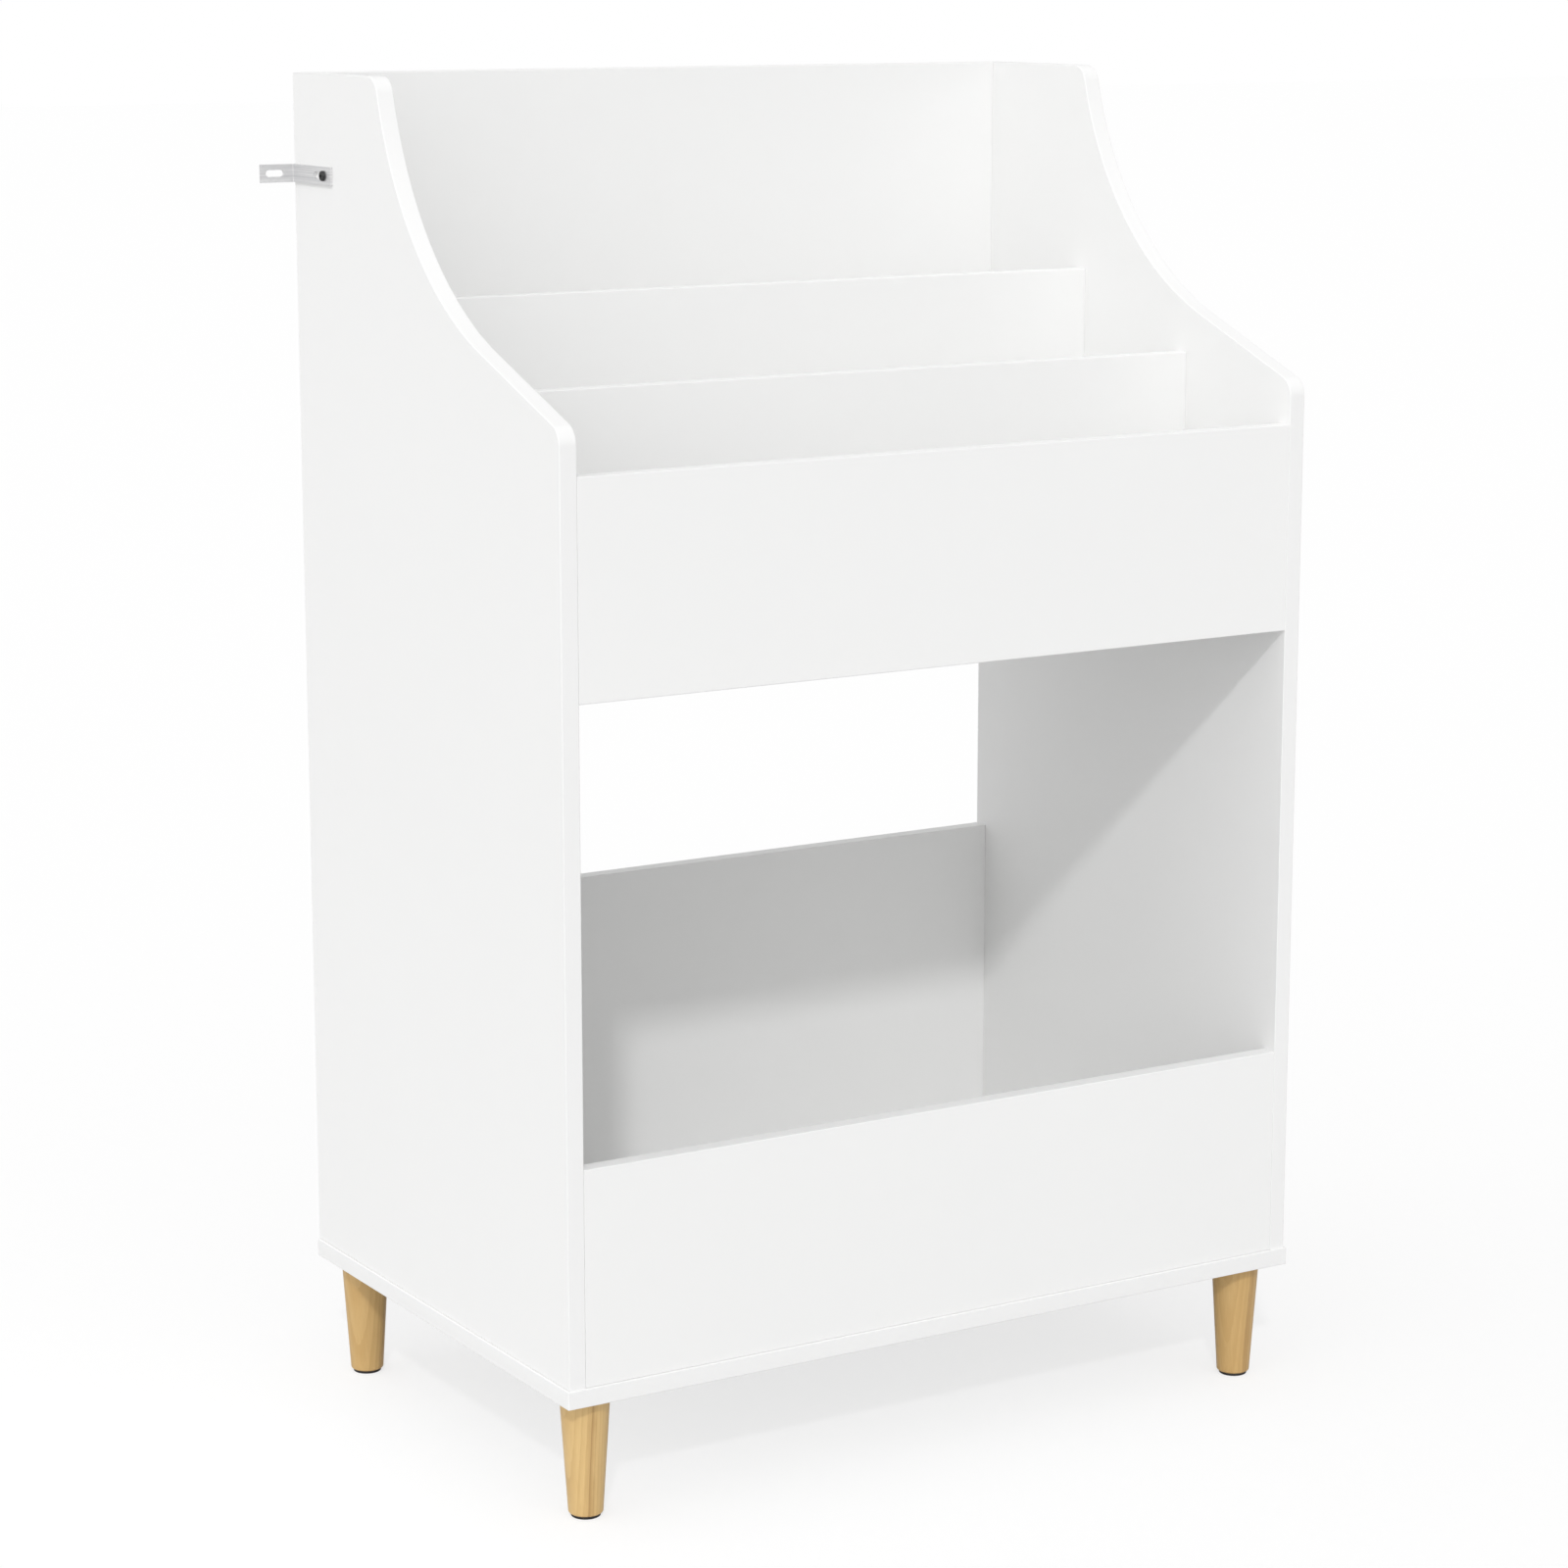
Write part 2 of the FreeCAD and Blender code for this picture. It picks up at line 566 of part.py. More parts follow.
# Legs: turned tapers under the corners, each with a nailed glide.
for hand, sign in (("left", "-"), ("right", "")):
    for end, depth in leg_depths.items():
        across = f"{sign}({leg_across})"
        leg = new_body(f"{end}_{hand}_leg", across, f"{front_plane} + {depth}", "glide_thickness")
        leg_sketch = new_sketch(leg, "XZ_Plane")
        foot = value("leg_foot_diameter") / 2
        head = value("leg_top_diameter") / 2
        length = value("leg_length")
        first = closed_outline(leg_sketch, [(0, 0), (foot, 0), (head, length), (0, length)])
        leg_sketch.addConstraint(Sketcher.Constraint("Coincident", first, 1, -1, 1))
        bind(leg_sketch, Sketcher.Constraint("DistanceX", first, 1, first, 2, foot), "leg_foot_diameter / 2")
        bind(leg_sketch, Sketcher.Constraint("DistanceX", first + 2, 2, first + 2, 1, head),
             "leg_top_diameter / 2")
        bind(leg_sketch, Sketcher.Constraint("DistanceY", first + 3, 2, first + 3, 1, length), "leg_length")
        turned = leg.newObject("PartDesign::Revolution", leg.Name + "_turning")
        turned.Profile = leg_sketch
        turned.ReferenceAxis = (leg_sketch, ["V_Axis"])
        turned.Angle = 360
        doc.recompute()
        dress_edges(leg, "Chamfer", turned, round_the_foot, "Size", "leg_foot_ease")
        drill(leg, "XY_Plane", "leg_length", [("0", "0")], "leg_bolt_diameter", "leg_bolt_bite + fit_gap")
        drill(leg, "XY_Plane", "0", [("0", "0")], "glide_pin_diameter", "glide_pin_length + fit_gap", True)
        pieces.append(leg)

        glide = new_body(f"{end}_{hand}_glide", across, f"{front_plane} + {depth}", "0")
        disc = round_rods(glide, "XY_Plane", "0", [("0", "0")], "glide_diameter", "glide_thickness")
        dress_edges(glide, "Chamfer", disc, round_the_foot, "Size", "glide_ease")
        rods(glide, "XY_Plane", "glide_thickness", [("0", "0")], "glide_pin_diameter", "glide_pin_length")
        pieces.append(glide)

# Leg bolts and the threaded inserts in the base panel that take them.
leg_bolts = new_body("leg_bolts", "0", front_plane, base_underside)
leg_bolt_rods = rods(leg_bolts, "XY_Plane", "-leg_bolt_bite", leg_places, "leg_bolt_diameter",
                     f"leg_bolt_bite + {insert_bore_depth} - fit_gap")
repeat_on_left(leg_bolts, [leg_bolt_rods])
pieces.append(leg_bolts)

inserts = new_body("leg_inserts", "0", front_plane, base_underside)
insert_sketch = new_sketch(inserts, "XY_Plane")
flat_sided(insert_sketch, leg_places, "insert_diameter", rod_flats)
flat_sided(insert_sketch, leg_places, "leg_bolt_diameter + 2 * fit_gap", rod_flats)
insert_sleeves = pad(inserts, insert_sketch, insert_bore_depth)
repeat_on_left(inserts, [insert_sleeves])
pieces.append(inserts)

# Wall brackets: bent strips with a slot in each arm, the side arm flat on the outer face of a side
# panel and the wall arm level with the back of the carcass.
bracket = new_body("right_wall_bracket", "carcass_width / 2", f"{front_plane} + {side_depth}",
                   f"{base_top} + {bracket_level} - bracket_height / 2")
bracket_sketch = new_sketch(bracket, "XY_Plane")
thick = value("bracket_thickness")
side_arm = value("bracket_side_arm")
wall_arm = value("bracket_wall_arm")
strip = closed_outline(bracket_sketch, [
    (0, -side_arm), (thick, -side_arm), (thick, -thick), (wall_arm, -thick), (wall_arm, 0), (0, 0),
])
bracket_sketch.addConstraint(Sketcher.Constraint("Coincident", strip + 5, 1, -1, 1))
bind(bracket_sketch, Sketcher.Constraint("DistanceX", strip, 1, strip, 2, thick), "bracket_thickness")
bind(bracket_sketch, Sketcher.Constraint("DistanceY", strip + 3, 1, strip + 3, 2, thick),
     "bracket_thickness")
bind(bracket_sketch, Sketcher.Constraint("DistanceX", strip + 4, 2, strip + 4, 1, wall_arm),
     "bracket_wall_arm")
bind(bracket_sketch, Sketcher.Constraint("DistanceY", strip + 5, 2, strip + 5, 1, side_arm),
     "bracket_side_arm")
bracket_pad = pad(bracket, bracket_sketch, "bracket_height")


def upright_edge_at(across, depth):
    """A test for the upright edge of the bracket at one corner of its outline."""
    def test(edge):
        middle = edge.CenterOfMass
        upright = edge.BoundBox.ZLength > 0.5 * value("bracket_height")
        return upright and abs(middle.x - across) + abs(middle.y - depth) < edge_match
    return test


inner_bend = dress_edges(bracket, "Fillet", bracket_pad, upright_edge_at(thick, -thick), "Radius",
                         "bracket_bend_radius")
dress_edges(bracket, "Fillet", inner_bend, upright_edge_at(0, 0), "Radius",
            "bracket_bend_radius + bracket_thickness")


def slot(body, role, left, right, up):
    """A round-ended slot cut through a strip, between the centres of its two ends."""
    sketch = new_sketch(body, role)
    radius = value("bracket_slot_width / 2")
    left_centre = FreeCAD.Vector(value(left), value(up), 0)
    right_centre = FreeCAD.Vector(value(right), value(up), 0)
    rise = FreeCAD.Vector(0, radius, 0)
    reach = FreeCAD.Vector(radius, 0, 0)
    upper = sketch.addGeometry(Part.LineSegment(left_centre + rise, right_centre + rise))
    lower = sketch.addGeometry(Part.LineSegment(right_centre - rise, left_centre - rise))
    right_end = sketch.addGeometry(Part.Arc(right_centre - rise, right_centre + reach, right_centre + rise))
    left_end = sketch.addGeometry(Part.Arc(left_centre + rise, left_centre - reach, left_centre - rise))
    for line, point, arc, arc_point in ((upper, 2, right_end, 2), (lower, 1, right_end, 1),
                                        (lower, 2, left_end, 2), (upper, 1, left_end, 1)):
        sketch.addConstraint(Sketcher.Constraint("Tangent", line, point, arc, arc_point))
    bind(sketch, Sketcher.Constraint("Radius", right_end, radius), "bracket_slot_width / 2")
    bind(sketch, Sketcher.Constraint("DistanceX", -1, 1, left_end, 3, left_centre.x), left)
    bind(sketch, Sketcher.Constraint("DistanceX", -1, 1, right_end, 3, right_centre.x), right)
    bind(sketch, Sketcher.Constraint("DistanceY", -1, 1, left_end, 3, left_centre.y), up)
    bind(sketch, Sketcher.Constraint("DistanceY", -1, 1, right_end, 3, right_centre.y), up)
    pocket(body, sketch, "bracket_thickness", True)


# The wall arm's slot is centred on its reach; the screw stands at the front end of the side arm's slot.
wall_slot_half = "(wall_slot_length - bracket_slot_width) / 2"
side_slot_span = "(side_slot_length - bracket_slot_width)"
slot(bracket, "XZ_Plane", f"wall_slot_reach - {wall_slot_half}", f"wall_slot_reach + {wall_slot_half}",
     "bracket_height / 2")
slot(bracket, "YZ_Plane", "-bracket_screw_reach", f"{side_slot_span} - bracket_screw_reach",
     "bracket_height / 2")
pieces.append(bracket)
pieces.append(mirrored_piece("left_wall_bracket", bracket))

# One screw through each bracket into the side panel.
bracket_screws = new_body("bracket_screws", "0", front_plane, base_top)
bracket_screw_rods = [
    round_rods(bracket_screws, "YZ_Plane", "carcass_width / 2 + bracket_thickness", [bracket_screw_place],
               "bracket_screw_head_diameter", "bracket_screw_head_height"),
    rods(bracket_screws, "YZ_Plane", "carcass_width / 2 - bracket_screw_bite", [bracket_screw_place],
         "bracket_screw_diameter", "bracket_screw_bite + bracket_thickness"),
]
repeat_on_left(bracket_screws, bracket_screw_rods)
pieces.append(bracket_screws)

doc.recompute()
for item in doc.Objects:
    if "Invalid" in item.State or "Error" in item.State:
        raise RuntimeError(item.Label + " could not be built")
for piece in pieces:
    if piece.Shape.isNull() or not piece.Shape.isValid():
        raise RuntimeError(piece.Label + " has no sound shape")

os.makedirs("parts", exist_ok=True)
for piece in pieces:
    piece.Shape.exportStep(f"parts/{piece.Label}.step")
    print(piece.Label, len(piece.Shape.Solids), "solids", round(piece.Shape.Volume / 1000, 2), "cm3")
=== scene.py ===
import math

import bmesh
import bpy
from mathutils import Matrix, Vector


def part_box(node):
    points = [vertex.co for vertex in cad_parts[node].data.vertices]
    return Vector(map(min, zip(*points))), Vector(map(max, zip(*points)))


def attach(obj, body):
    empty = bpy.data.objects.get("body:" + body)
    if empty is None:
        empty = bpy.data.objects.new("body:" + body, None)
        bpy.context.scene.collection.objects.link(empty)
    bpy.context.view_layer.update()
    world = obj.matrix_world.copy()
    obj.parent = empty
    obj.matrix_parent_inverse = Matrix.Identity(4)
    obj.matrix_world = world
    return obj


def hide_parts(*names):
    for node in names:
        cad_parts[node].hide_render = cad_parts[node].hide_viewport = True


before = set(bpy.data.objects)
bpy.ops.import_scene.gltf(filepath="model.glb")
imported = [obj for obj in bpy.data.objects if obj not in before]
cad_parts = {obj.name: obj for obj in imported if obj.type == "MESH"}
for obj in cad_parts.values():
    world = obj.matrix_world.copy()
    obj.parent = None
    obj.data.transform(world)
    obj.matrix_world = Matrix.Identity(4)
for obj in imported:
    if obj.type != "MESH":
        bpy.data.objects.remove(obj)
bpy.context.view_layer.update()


# Base panel: a white-faced particle board, a little larger than the case that stands on it, with
# thin tape on its four edges. Ten screws come up through it, their heads sunk below its lower face,
# and near each corner a sleeve is let into it for a leg's bolt.
tape_round = 0.0008
tape_steps = 3
bore_corners = 48
smooth_limit = math.radians(35)
merge_reach = 0.000005
upward = (0, 0, 1)


def select_only(piece):
    """Makes one piece the only one that the next tool acts on."""
    bpy.ops.object.select_all(action="DESELECT")
    piece.select_set(True)
    bpy.context.view_layer.objects.active = piece


def start_edit(piece):
    """Goes into edit mode on one piece, with nothing selected in it."""
    select_only(piece)
    bpy.ops.object.mode_set(mode="EDIT")
    bpy.ops.mesh.select_mode(type="EDGE")
    bpy.ops.mesh.select_all(action="DESELECT")


def end_edit():
    """Goes back from edit mode to whole pieces."""
    bpy.ops.object.mode_set(mode="OBJECT")


def pick_edges(piece, wanted):
    """Selects the edges of a piece in edit mode whose two ends pass a test."""
    bpy.ops.mesh.select_all(action="DESELECT")
    shape = bmesh.from_edit_mesh(piece.data)
    for edge in shape.edges:
        if wanted(edge.verts[0].co, edge.verts[1].co):
            edge.select_set(True)
    bmesh.update_edit_mesh(piece.data)


def round_edges(reach, steps):
    """Bevels the selected edges: one step is a chamfer, more are a rounding."""
    bpy.ops.mesh.bevel(offset=reach, segments=steps, affect="EDGES")


def new_piece(name, primitive, stretch=(1, 1, 1), **settings):
    """Starts a piece from a primitive and puts its place into its mesh."""
    bpy.ops.object.select_all(action="DESELECT")
    primitive(**settings)
    started = bpy.context.object
    started.name = name
    started.scale = stretch
    bpy.ops.object.transform_apply(location=True, rotation=True, scale=True)
    return started


def add_box(name, low, high):
    """A block between two corners."""
    return new_piece(name, bpy.ops.mesh.primitive_cube_add, high - low,
                     size=1, location=(low + high) / 2)


def carve(piece, cutter):
    """Cuts one shape out of a piece and throws the cutter away."""
    select_only(piece)
    bpy.ops.object.modifier_add(type="BOOLEAN")
    cut = piece.modifiers[-1]
    cut.operation = "DIFFERENCE"
    cut.solver = "EXACT"
    cut.object = cutter
    bpy.ops.object.modifier_apply(modifier=cut.name)
    bpy.data.objects.remove(cutter)
    start_edit(piece)
    bpy.ops.mesh.select_all(action="SELECT")
    bpy.ops.mesh.remove_doubles(threshold=merge_reach)
    end_edit()


def drill_bit(mouth, direction, diameter, depth):
    """The cutter for a round flat-bottomed hole, run in from a place on a face."""
    direction = Vector(direction)
    overrun = 0.001
    bpy.ops.object.select_all(action="DESELECT")
    bpy.ops.mesh.primitive_cylinder_add(
        vertices=bore_corners, radius=diameter / 2, depth=depth + overrun,
        location=Vector(mouth) + direction * (depth - overrun) / 2,
        rotation=direction.to_track_quat("Z", "Y").to_euler())
    return bpy.context.object


def drill(piece, *holes):
    """Drills holes that keep clear of each other into a piece in one go."""
    bits = [drill_bit(*hole) for hole in holes]
    select_only(bits[0])
    for bit in bits:
        bit.select_set(True)
    if len(bits) > 1:
        bpy.ops.object.join()
    carve(piece, bits[0])


def even_shading(piece):
    """Smooth rounded edges that leave the flat faces flat."""
    select_only(piece)
    bpy.ops.object.shade_smooth_by_angle(angle=smooth_limit)
    bpy.ops.object.modifier_add(type="WEIGHTED_NORMAL")
    piece.modifiers[-1].keep_sharp = True
    bpy.ops.object.modifier_apply(modifier=piece.modifiers[-1].name)


def feed(tree, node, sources):
    """Links sockets to a node's inputs, or sets plain values there."""
    for name, source in sources.items():
        if isinstance(source, bpy.types.NodeSocket):
            tree.links.new(source, node.inputs[name])
        else:
            node.inputs[name].default_value = source


def wire(tree, kind, inputs=None, **options):
    """Adds a shader node, sets its options and feeds its inputs."""
    made = tree.nodes.new("ShaderNode" + kind)
    for name, option in options.items():
        setattr(made, name, option)
    feed(tree, made, inputs or {})
    return made


def in_piece(tree):
    """The place of a point in the piece's own frame."""
    return wire(tree, "TexCoord").outputs["Object"]


def calc(tree, operation, *values):
    """One step of arithmetic on plain values or on sockets."""
    return wire(tree, "Math", dict(enumerate(values)), operation=operation).outputs[0]


def noise(tree, place, scale, detail, roughness=0.5):
    """Cloudy noise over the piece."""
    return wire(tree, "TexNoise", {"Vector": place, "Scale": scale, "Detail": detail,
                                   "Roughness": roughness}).outputs[0]


def remap(tree, value, before, after, **options):
    """Lays one range of a value over another."""
    return wire(tree, "MapRange", {"Value": value, "From Min": before[0], "From Max": before[1],
                                   "To Min": after[0], "To Max": after[1]}, **options).outputs[0]


def mix_tones(tree, share, first, second):
    """A colour between two others."""
    return wire(tree, "Mix", {0: share, 6: first, 7: second}, data_type="RGBA").outputs[2]


def bump(tree, height, strength, distance):
    """The normal of a surface with a fine relief."""
    return wire(tree, "Bump", {"Height": height, "Strength": strength,
                               "Distance": distance}).outputs["Normal"]


def new_group(name, inputs, outputs):
    """An empty shader node group with named sockets, and its two end nodes."""
    group = bpy.data.node_groups.new(name, "ShaderNodeTree")
    for way, sockets in (("INPUT", inputs), ("OUTPUT", outputs)):
        for socket, kind in sockets.items():
            group.interface.new_socket(socket, in_out=way, socket_type="NodeSocket" + kind)
    return group, group.nodes.new("NodeGroupInput"), group.nodes.new("NodeGroupOutput")


def new_finish(name):
    """A new finish, with its node tree and its shader."""
    finish = bpy.data.materials.new(name)
    finish.use_nodes = True
    return finish, finish.node_tree, finish.node_tree.nodes["Principled BSDF"]


# The board's skin is a satin foil with a fine pearl grain. Its edge tape is plain and even.
foil_light = (0.888, 0.888, 0.882, 1)
foil_dark = (0.874, 0.875, 0.871, 1)
tape_white = (0.875, 0.875, 0.872, 1)
tape_facing = (0.97, 0.995)
pearl_spread = (0.3, 0.7)
foil_roughness = (0.38, 0.5)
tape_roughness = 0.42
grain_rise = 0.6
wave_rise = 2.0
board_skin, skin_in, skin_out = new_group(
    "board_skin", {"Board axis": "Vector"},
    {"Color": "Color", "Roughness": "Float", "Height": "Float"})
place = in_piece(board_skin)
true_normal = wire(board_skin, "NewGeometry").outputs["True Normal"]
facing = wire(board_skin, "VectorMath", {0: true_normal, 1: skin_in.outputs["Board axis"]},
              operation="DOT_PRODUCT").outputs["Value"]
tape = remap(board_skin, calc(board_skin, "ABSOLUTE", facing), tape_facing, (1.0, 0.0))
mottle = noise(board_skin, place, scale=7.0, detail=4.0, roughness=0.55)
pearl = noise(board_skin, place, scale=900.0, detail=2.0, roughness=0.6)
foil = mix_tones(board_skin, mottle, foil_light, foil_dark)
foil_gloss = remap(board_skin, pearl, pearl_spread, foil_roughness)
grain_height = calc(board_skin, "MULTIPLY", pearl, grain_rise)
feed(board_skin, skin_out, {
    "Color": mix_tones(board_skin, tape, foil, tape_white),
    "Roughness": wire(board_skin, "Mix", {0: tape, 2: foil_gloss, 3: tape_roughness}).outputs[0],
    "Height": calc(board_skin, "MULTIPLY_ADD", mottle, wave_rise, grain_height)})


def white_board(name, axis):
    """The white finish of boards that lie across one axis."""
    finish, tree, shader = new_finish(name)
    skin = wire(tree, "Group", {"Board axis": axis}, node_tree=board_skin).outputs
    feed(tree, shader, {
        "Base Color": skin["Color"], "Roughness": skin["Roughness"], "Specular IOR Level": 0.4,
        "Normal": bump(tree, skin["Height"], strength=0.12, distance=0.0002)})
    return finish


def hand_over(piece, finish, slot, *nodes):
    """Gives a piece its finish and lets it stand for its CAD nodes."""
    piece.data.materials.clear()
    piece.data.materials.append(finish)
    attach(piece, "root")
    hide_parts(*nodes)


level_white = white_board("white_board_level", upward)
base_low, base_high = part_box("base_panel")
base_thickness = base_high.z - base_low.z
side_screw_across = 0.3455
side_screws_along = (-0.154, 0.001, 0.156)
board_screw_across = 0.1765
board_screws_along = (-0.2215, 0.2235)
base_screw_bore = 0.0106
base_screw_bore_depth = 0.0045
base_shank_bore = 0.0056
sleeve_bore = 0.0126
sleeve_bore_depth = 0.013
leg_corners = ("front_left", "front_right", "rear_left", "rear_right")
base_screw_places = [
    (side_sign * across, along)
    for across, row in ((side_screw_across, side_screws_along),
                        (board_screw_across, board_screws_along))
    for side_sign in (-1, 1) for along in row]
base = add_box("base_board", base_low, base_high)
start_edit(base)
bpy.ops.mesh.select_all(action="SELECT")
round_edges(tape_round, tape_steps)
end_edit()
screw_mouths = [(across, along, base_low.z) for across, along in base_screw_places]
leg_joints = {}
for corner_name in leg_corners:
    low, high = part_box(corner_name + "_leg")
    leg_joints[corner_name] = ((low.x + high.x) / 2, (low.y + high.y) / 2, base_low.z)
drill(base,
      *[(mouth, upward, base_screw_bore, base_screw_bore_depth) for mouth in screw_mouths],
      *[(mouth, upward, sleeve_bore, sleeve_bore_depth) for mouth in leg_joints.values()])
drill(base, *[(mouth, upward, base_shank_bore, 2 * base_thickness) for mouth in screw_mouths])
even_shading(base)
hand_over(base, level_white, "white_board", "base_panel")


# Side panels: white boards with a flat top at the back, a concave sweep and a gentle slope down to
# the front edge, with the corners at both ends of that line rounded. Each is sawn in one outline
# and taped, and the two of them carry all the other boards.
side_low, side_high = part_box("right_side_panel")
board_thickness = side_high.x - side_low.x
front_corner = 0.8715
slope_run = 0.127
slope_rise = 0.048
top_flat = 0.156
corner_radius = 0.016
sweep_steps = 56
corner_steps = 10
starter_size = 0.01
seam_reach = 0.00001
fitting_edge = 0.037
front_cam_height = 0.030
back_dowel_height = 0.148
dowel_bore = 0.0086
bolt_thread_bore = 0.0056
socket_depth = 0.011
base_screw_bite = 0.0353
bracket_screw_bore = 0.0046
bracket_screw_bite = 0.0113
# The heights of each upright's cams and of its dowel, up from its lower edge or down from its top.
upright_fittings = {
    "lower_front_panel": ((-fitting_edge,), fitting_edge),
    "lower_back_panel": ((-fitting_edge,), fitting_edge),
    "upper_front_panel": ((front_cam_height,), -fitting_edge),
    "middle_divider": ((fitting_edge,), -fitting_edge),
    "rear_divider": ((fitting_edge,), -fitting_edge),
    "upper_back_panel": ((fitting_edge, -fitting_edge), back_dowel_height),
}
side_white = white_board("white_board_side", (1, 0, 0))
slope_foot = Vector((side_low.x, side_low.y, front_corner))
slope_end = slope_foot + Vector((0, slope_run, slope_rise))
sweep_top = Vector((side_low.x, side_high.y - top_flat, side_high.z))
slope_normal = Vector((0, -slope_rise, slope_run)).normalized()
chord = sweep_top - slope_end
sweep_radius = chord.length_squared / (2 * chord.dot(slope_normal))
sweep_centre = slope_end + slope_normal * sweep_radius
sweep_angle = (slope_end - sweep_centre).angle(sweep_top - sweep_centre)
sweep_tangent = Vector((0, sweep_centre.z - sweep_top.z, sweep_top.y - sweep_centre.y)).normalized()
top_turn = sweep_tangent.angle(Vector((0, 1, 0)))
top_corner_reach = corner_radius * math.tan(top_turn / 2)
foot_turn = Vector((0, slope_run, slope_rise)).angle(Vector(upward))
foot_corner_reach = corner_radius * math.tan(foot_turn / 2)
drawn_angle = sweep_angle - top_corner_reach / sweep_radius


def extrude(move):
    """Draws what is selected out by a distance along each axis."""
    bpy.ops.mesh.extrude_region_move(TRANSFORM_OT_translate={"value": move})


def extrude_to(point, target):
    """Draws an edge from the selected corner to a place and gives that place back."""
    extrude(target - point)
    return target


def pick_corner(piece, target):
    """Selects the corner of a piece nearest to a place."""
    bpy.ops.mesh.select_mode(type="VERT")
    bpy.ops.mesh.select_all(action="DESELECT")
    shape = bmesh.from_edit_mesh(piece.data)
    nearest = min(shape.verts, key=lambda vertex: (vertex.co - target).length)
    nearest.select_set(True)
    bmesh.update_edit_mesh(piece.data)


side = new_piece("right_side_board", bpy.ops.mesh.primitive_plane_add,
                 size=starter_size, location=side_low)
bpy.ops.object.mode_set(mode="EDIT")
bpy.ops.mesh.select_mode(type="VERT")
bpy.ops.mesh.select_all(action="SELECT")
bpy.ops.mesh.merge(type="CENTER")
corner = Vector(side_low)
for target in (slope_foot, slope_end):
    corner = extrude_to(corner, target)
bpy.ops.mesh.spin(steps=sweep_steps, angle=drawn_angle, center=sweep_centre, axis=(-1, 0, 0))
end_edit()
corner = max((vertex.co.copy() for vertex in side.data.vertices), key=lambda co: co.z)
bpy.ops.object.mode_set(mode="EDIT")
for target in (sweep_top, Vector((side_low.x, side_high.y, side_high.z)),
               Vector((side_low.x, side_high.y, side_low.z))):
    corner = extrude_to(corner, target)
bpy.ops.mesh.select_all(action="SELECT")
bpy.ops.mesh.remove_doubles(threshold=seam_reach)
bpy.ops.mesh.edge_face_add()
for target, reach in ((slope_foot, foot_corner_reach), (sweep_top, top_corner_reach)):
    pick_corner(side, target)
    bpy.ops.mesh.bevel(offset=reach, segments=corner_steps, affect="VERTICES")
bpy.ops.mesh.select_all(action="SELECT")
extrude((board_thickness, 0, 0))
bpy.ops.mesh.select_all(action="SELECT")
bpy.ops.mesh.normals_make_consistent(inside=False)
bpy.ops.mesh.select_mode(type="EDGE")
pick_edges(side, lambda a, b: abs(a.x - b.x) < board_thickness / 2)
round_edges(tape_round, tape_steps)
end_edit()


def height_on(node, offset):
    """A height counted up from a board's lower edge, or down from its upper edge."""
    low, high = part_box(node)
    return low.z + offset if offset > 0 else high.z + offset


dowel_sockets = []
bolt_sockets = []
for node, (cam_offsets, dowel_offset) in upright_fittings.items():
    low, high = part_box(node)
    middle = (low.y + high.y) / 2
    bolt_sockets += [(middle, height_on(node, offset)) for offset in cam_offsets]
    dowel_sockets.append((middle, height_on(node, dowel_offset)))
for node in ("front_bin_floor", "middle_bin_floor", "rear_bin_floor"):
    low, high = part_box(node)
    for along in (low.y + fitting_edge, high.y - fitting_edge):
        dowel_sockets.append((along, (low.z + high.z) / 2))
screw_low, screw_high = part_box("bracket_screws")
screw_spot = (screw_low + screw_high) / 2
drill(
    side,
    *[((side_low.x, *spot), (1, 0, 0), dowel_bore, socket_depth) for spot in dowel_sockets],
    *[((side_low.x, *spot), (1, 0, 0), bolt_thread_bore, socket_depth) for spot in bolt_sockets],
    *[((across, along, side_low.z), upward, base_shank_bore, base_screw_bite)
      for across, along in base_screw_places if across > side_low.x],
    ((side_high.x, screw_spot.y, screw_spot.z), (-1, 0, 0), bracket_screw_bore, bracket_screw_bite))


def copy_piece(piece, name, move=(0, 0, 0), turn=(0, 0, 0)):
    """A copy with its own mesh, turned and moved to its place and left at the origin."""
    select_only(piece)
    bpy.ops.object.duplicate()
    copied = bpy.context.object
    copied.name = name
    copied.location = move
    copied.rotation_euler = turn
    bpy.ops.object.transform_apply(location=True, rotation=True, scale=True)
    return copied


def mirror_piece(piece, name):
    """A mirror image on the other side of the object, its normals turned outward again."""
    mirrored = copy_piece(piece, name)
    mirrored.scale.x = -1
    select_only(mirrored)
    bpy.ops.object.transform_apply(location=True, rotation=True, scale=True)
    start_edit(mirrored)
    bpy.ops.mesh.select_all(action="SELECT")
    bpy.ops.mesh.normals_make_consistent(inside=False)
    end_edit()
    return mirrored


left_side = mirror_piece(side, "left_side_board")
for piece, node in ((side, "right_side_panel"), (left_side, "left_side_panel")):
    even_shading(piece)
    hand_over(piece, side_white, "white_board", node)


# Upright boards: the lower front and back at the foot of the open bay, the upper front, the two
# dividers and the upper back. They are white boards with taped long edges, each held between the
# sides by dowels and by cams let into its rear face.
joint_round = 0.00025
cam_across = 0.314
cam_bore = 0.0156
cam_bore_depth = 0.0125
floor_screw_across = 0.1765
floor_screw_bore = 0.0086
floor_screw_bore_depth = 0.0035
floor_shank_bore = 0.0046
bolt_bore = 0.0076
bolt_bore_depth = 0.024
dowel_bore_depth = 0.0203
forward = (0, -1, 0)
upright_white = white_board("white_board_upright", (0, 1, 0))
upright_boards = {
    "lower_front_panel": "lower_front_board", "lower_back_panel": "lower_back_board",
    "upper_front_panel": "upper_front_board", "middle_divider": "middle_divider_board",
    "rear_divider": "rear_divider_board", "upper_back_panel": "upper_back_board",
}
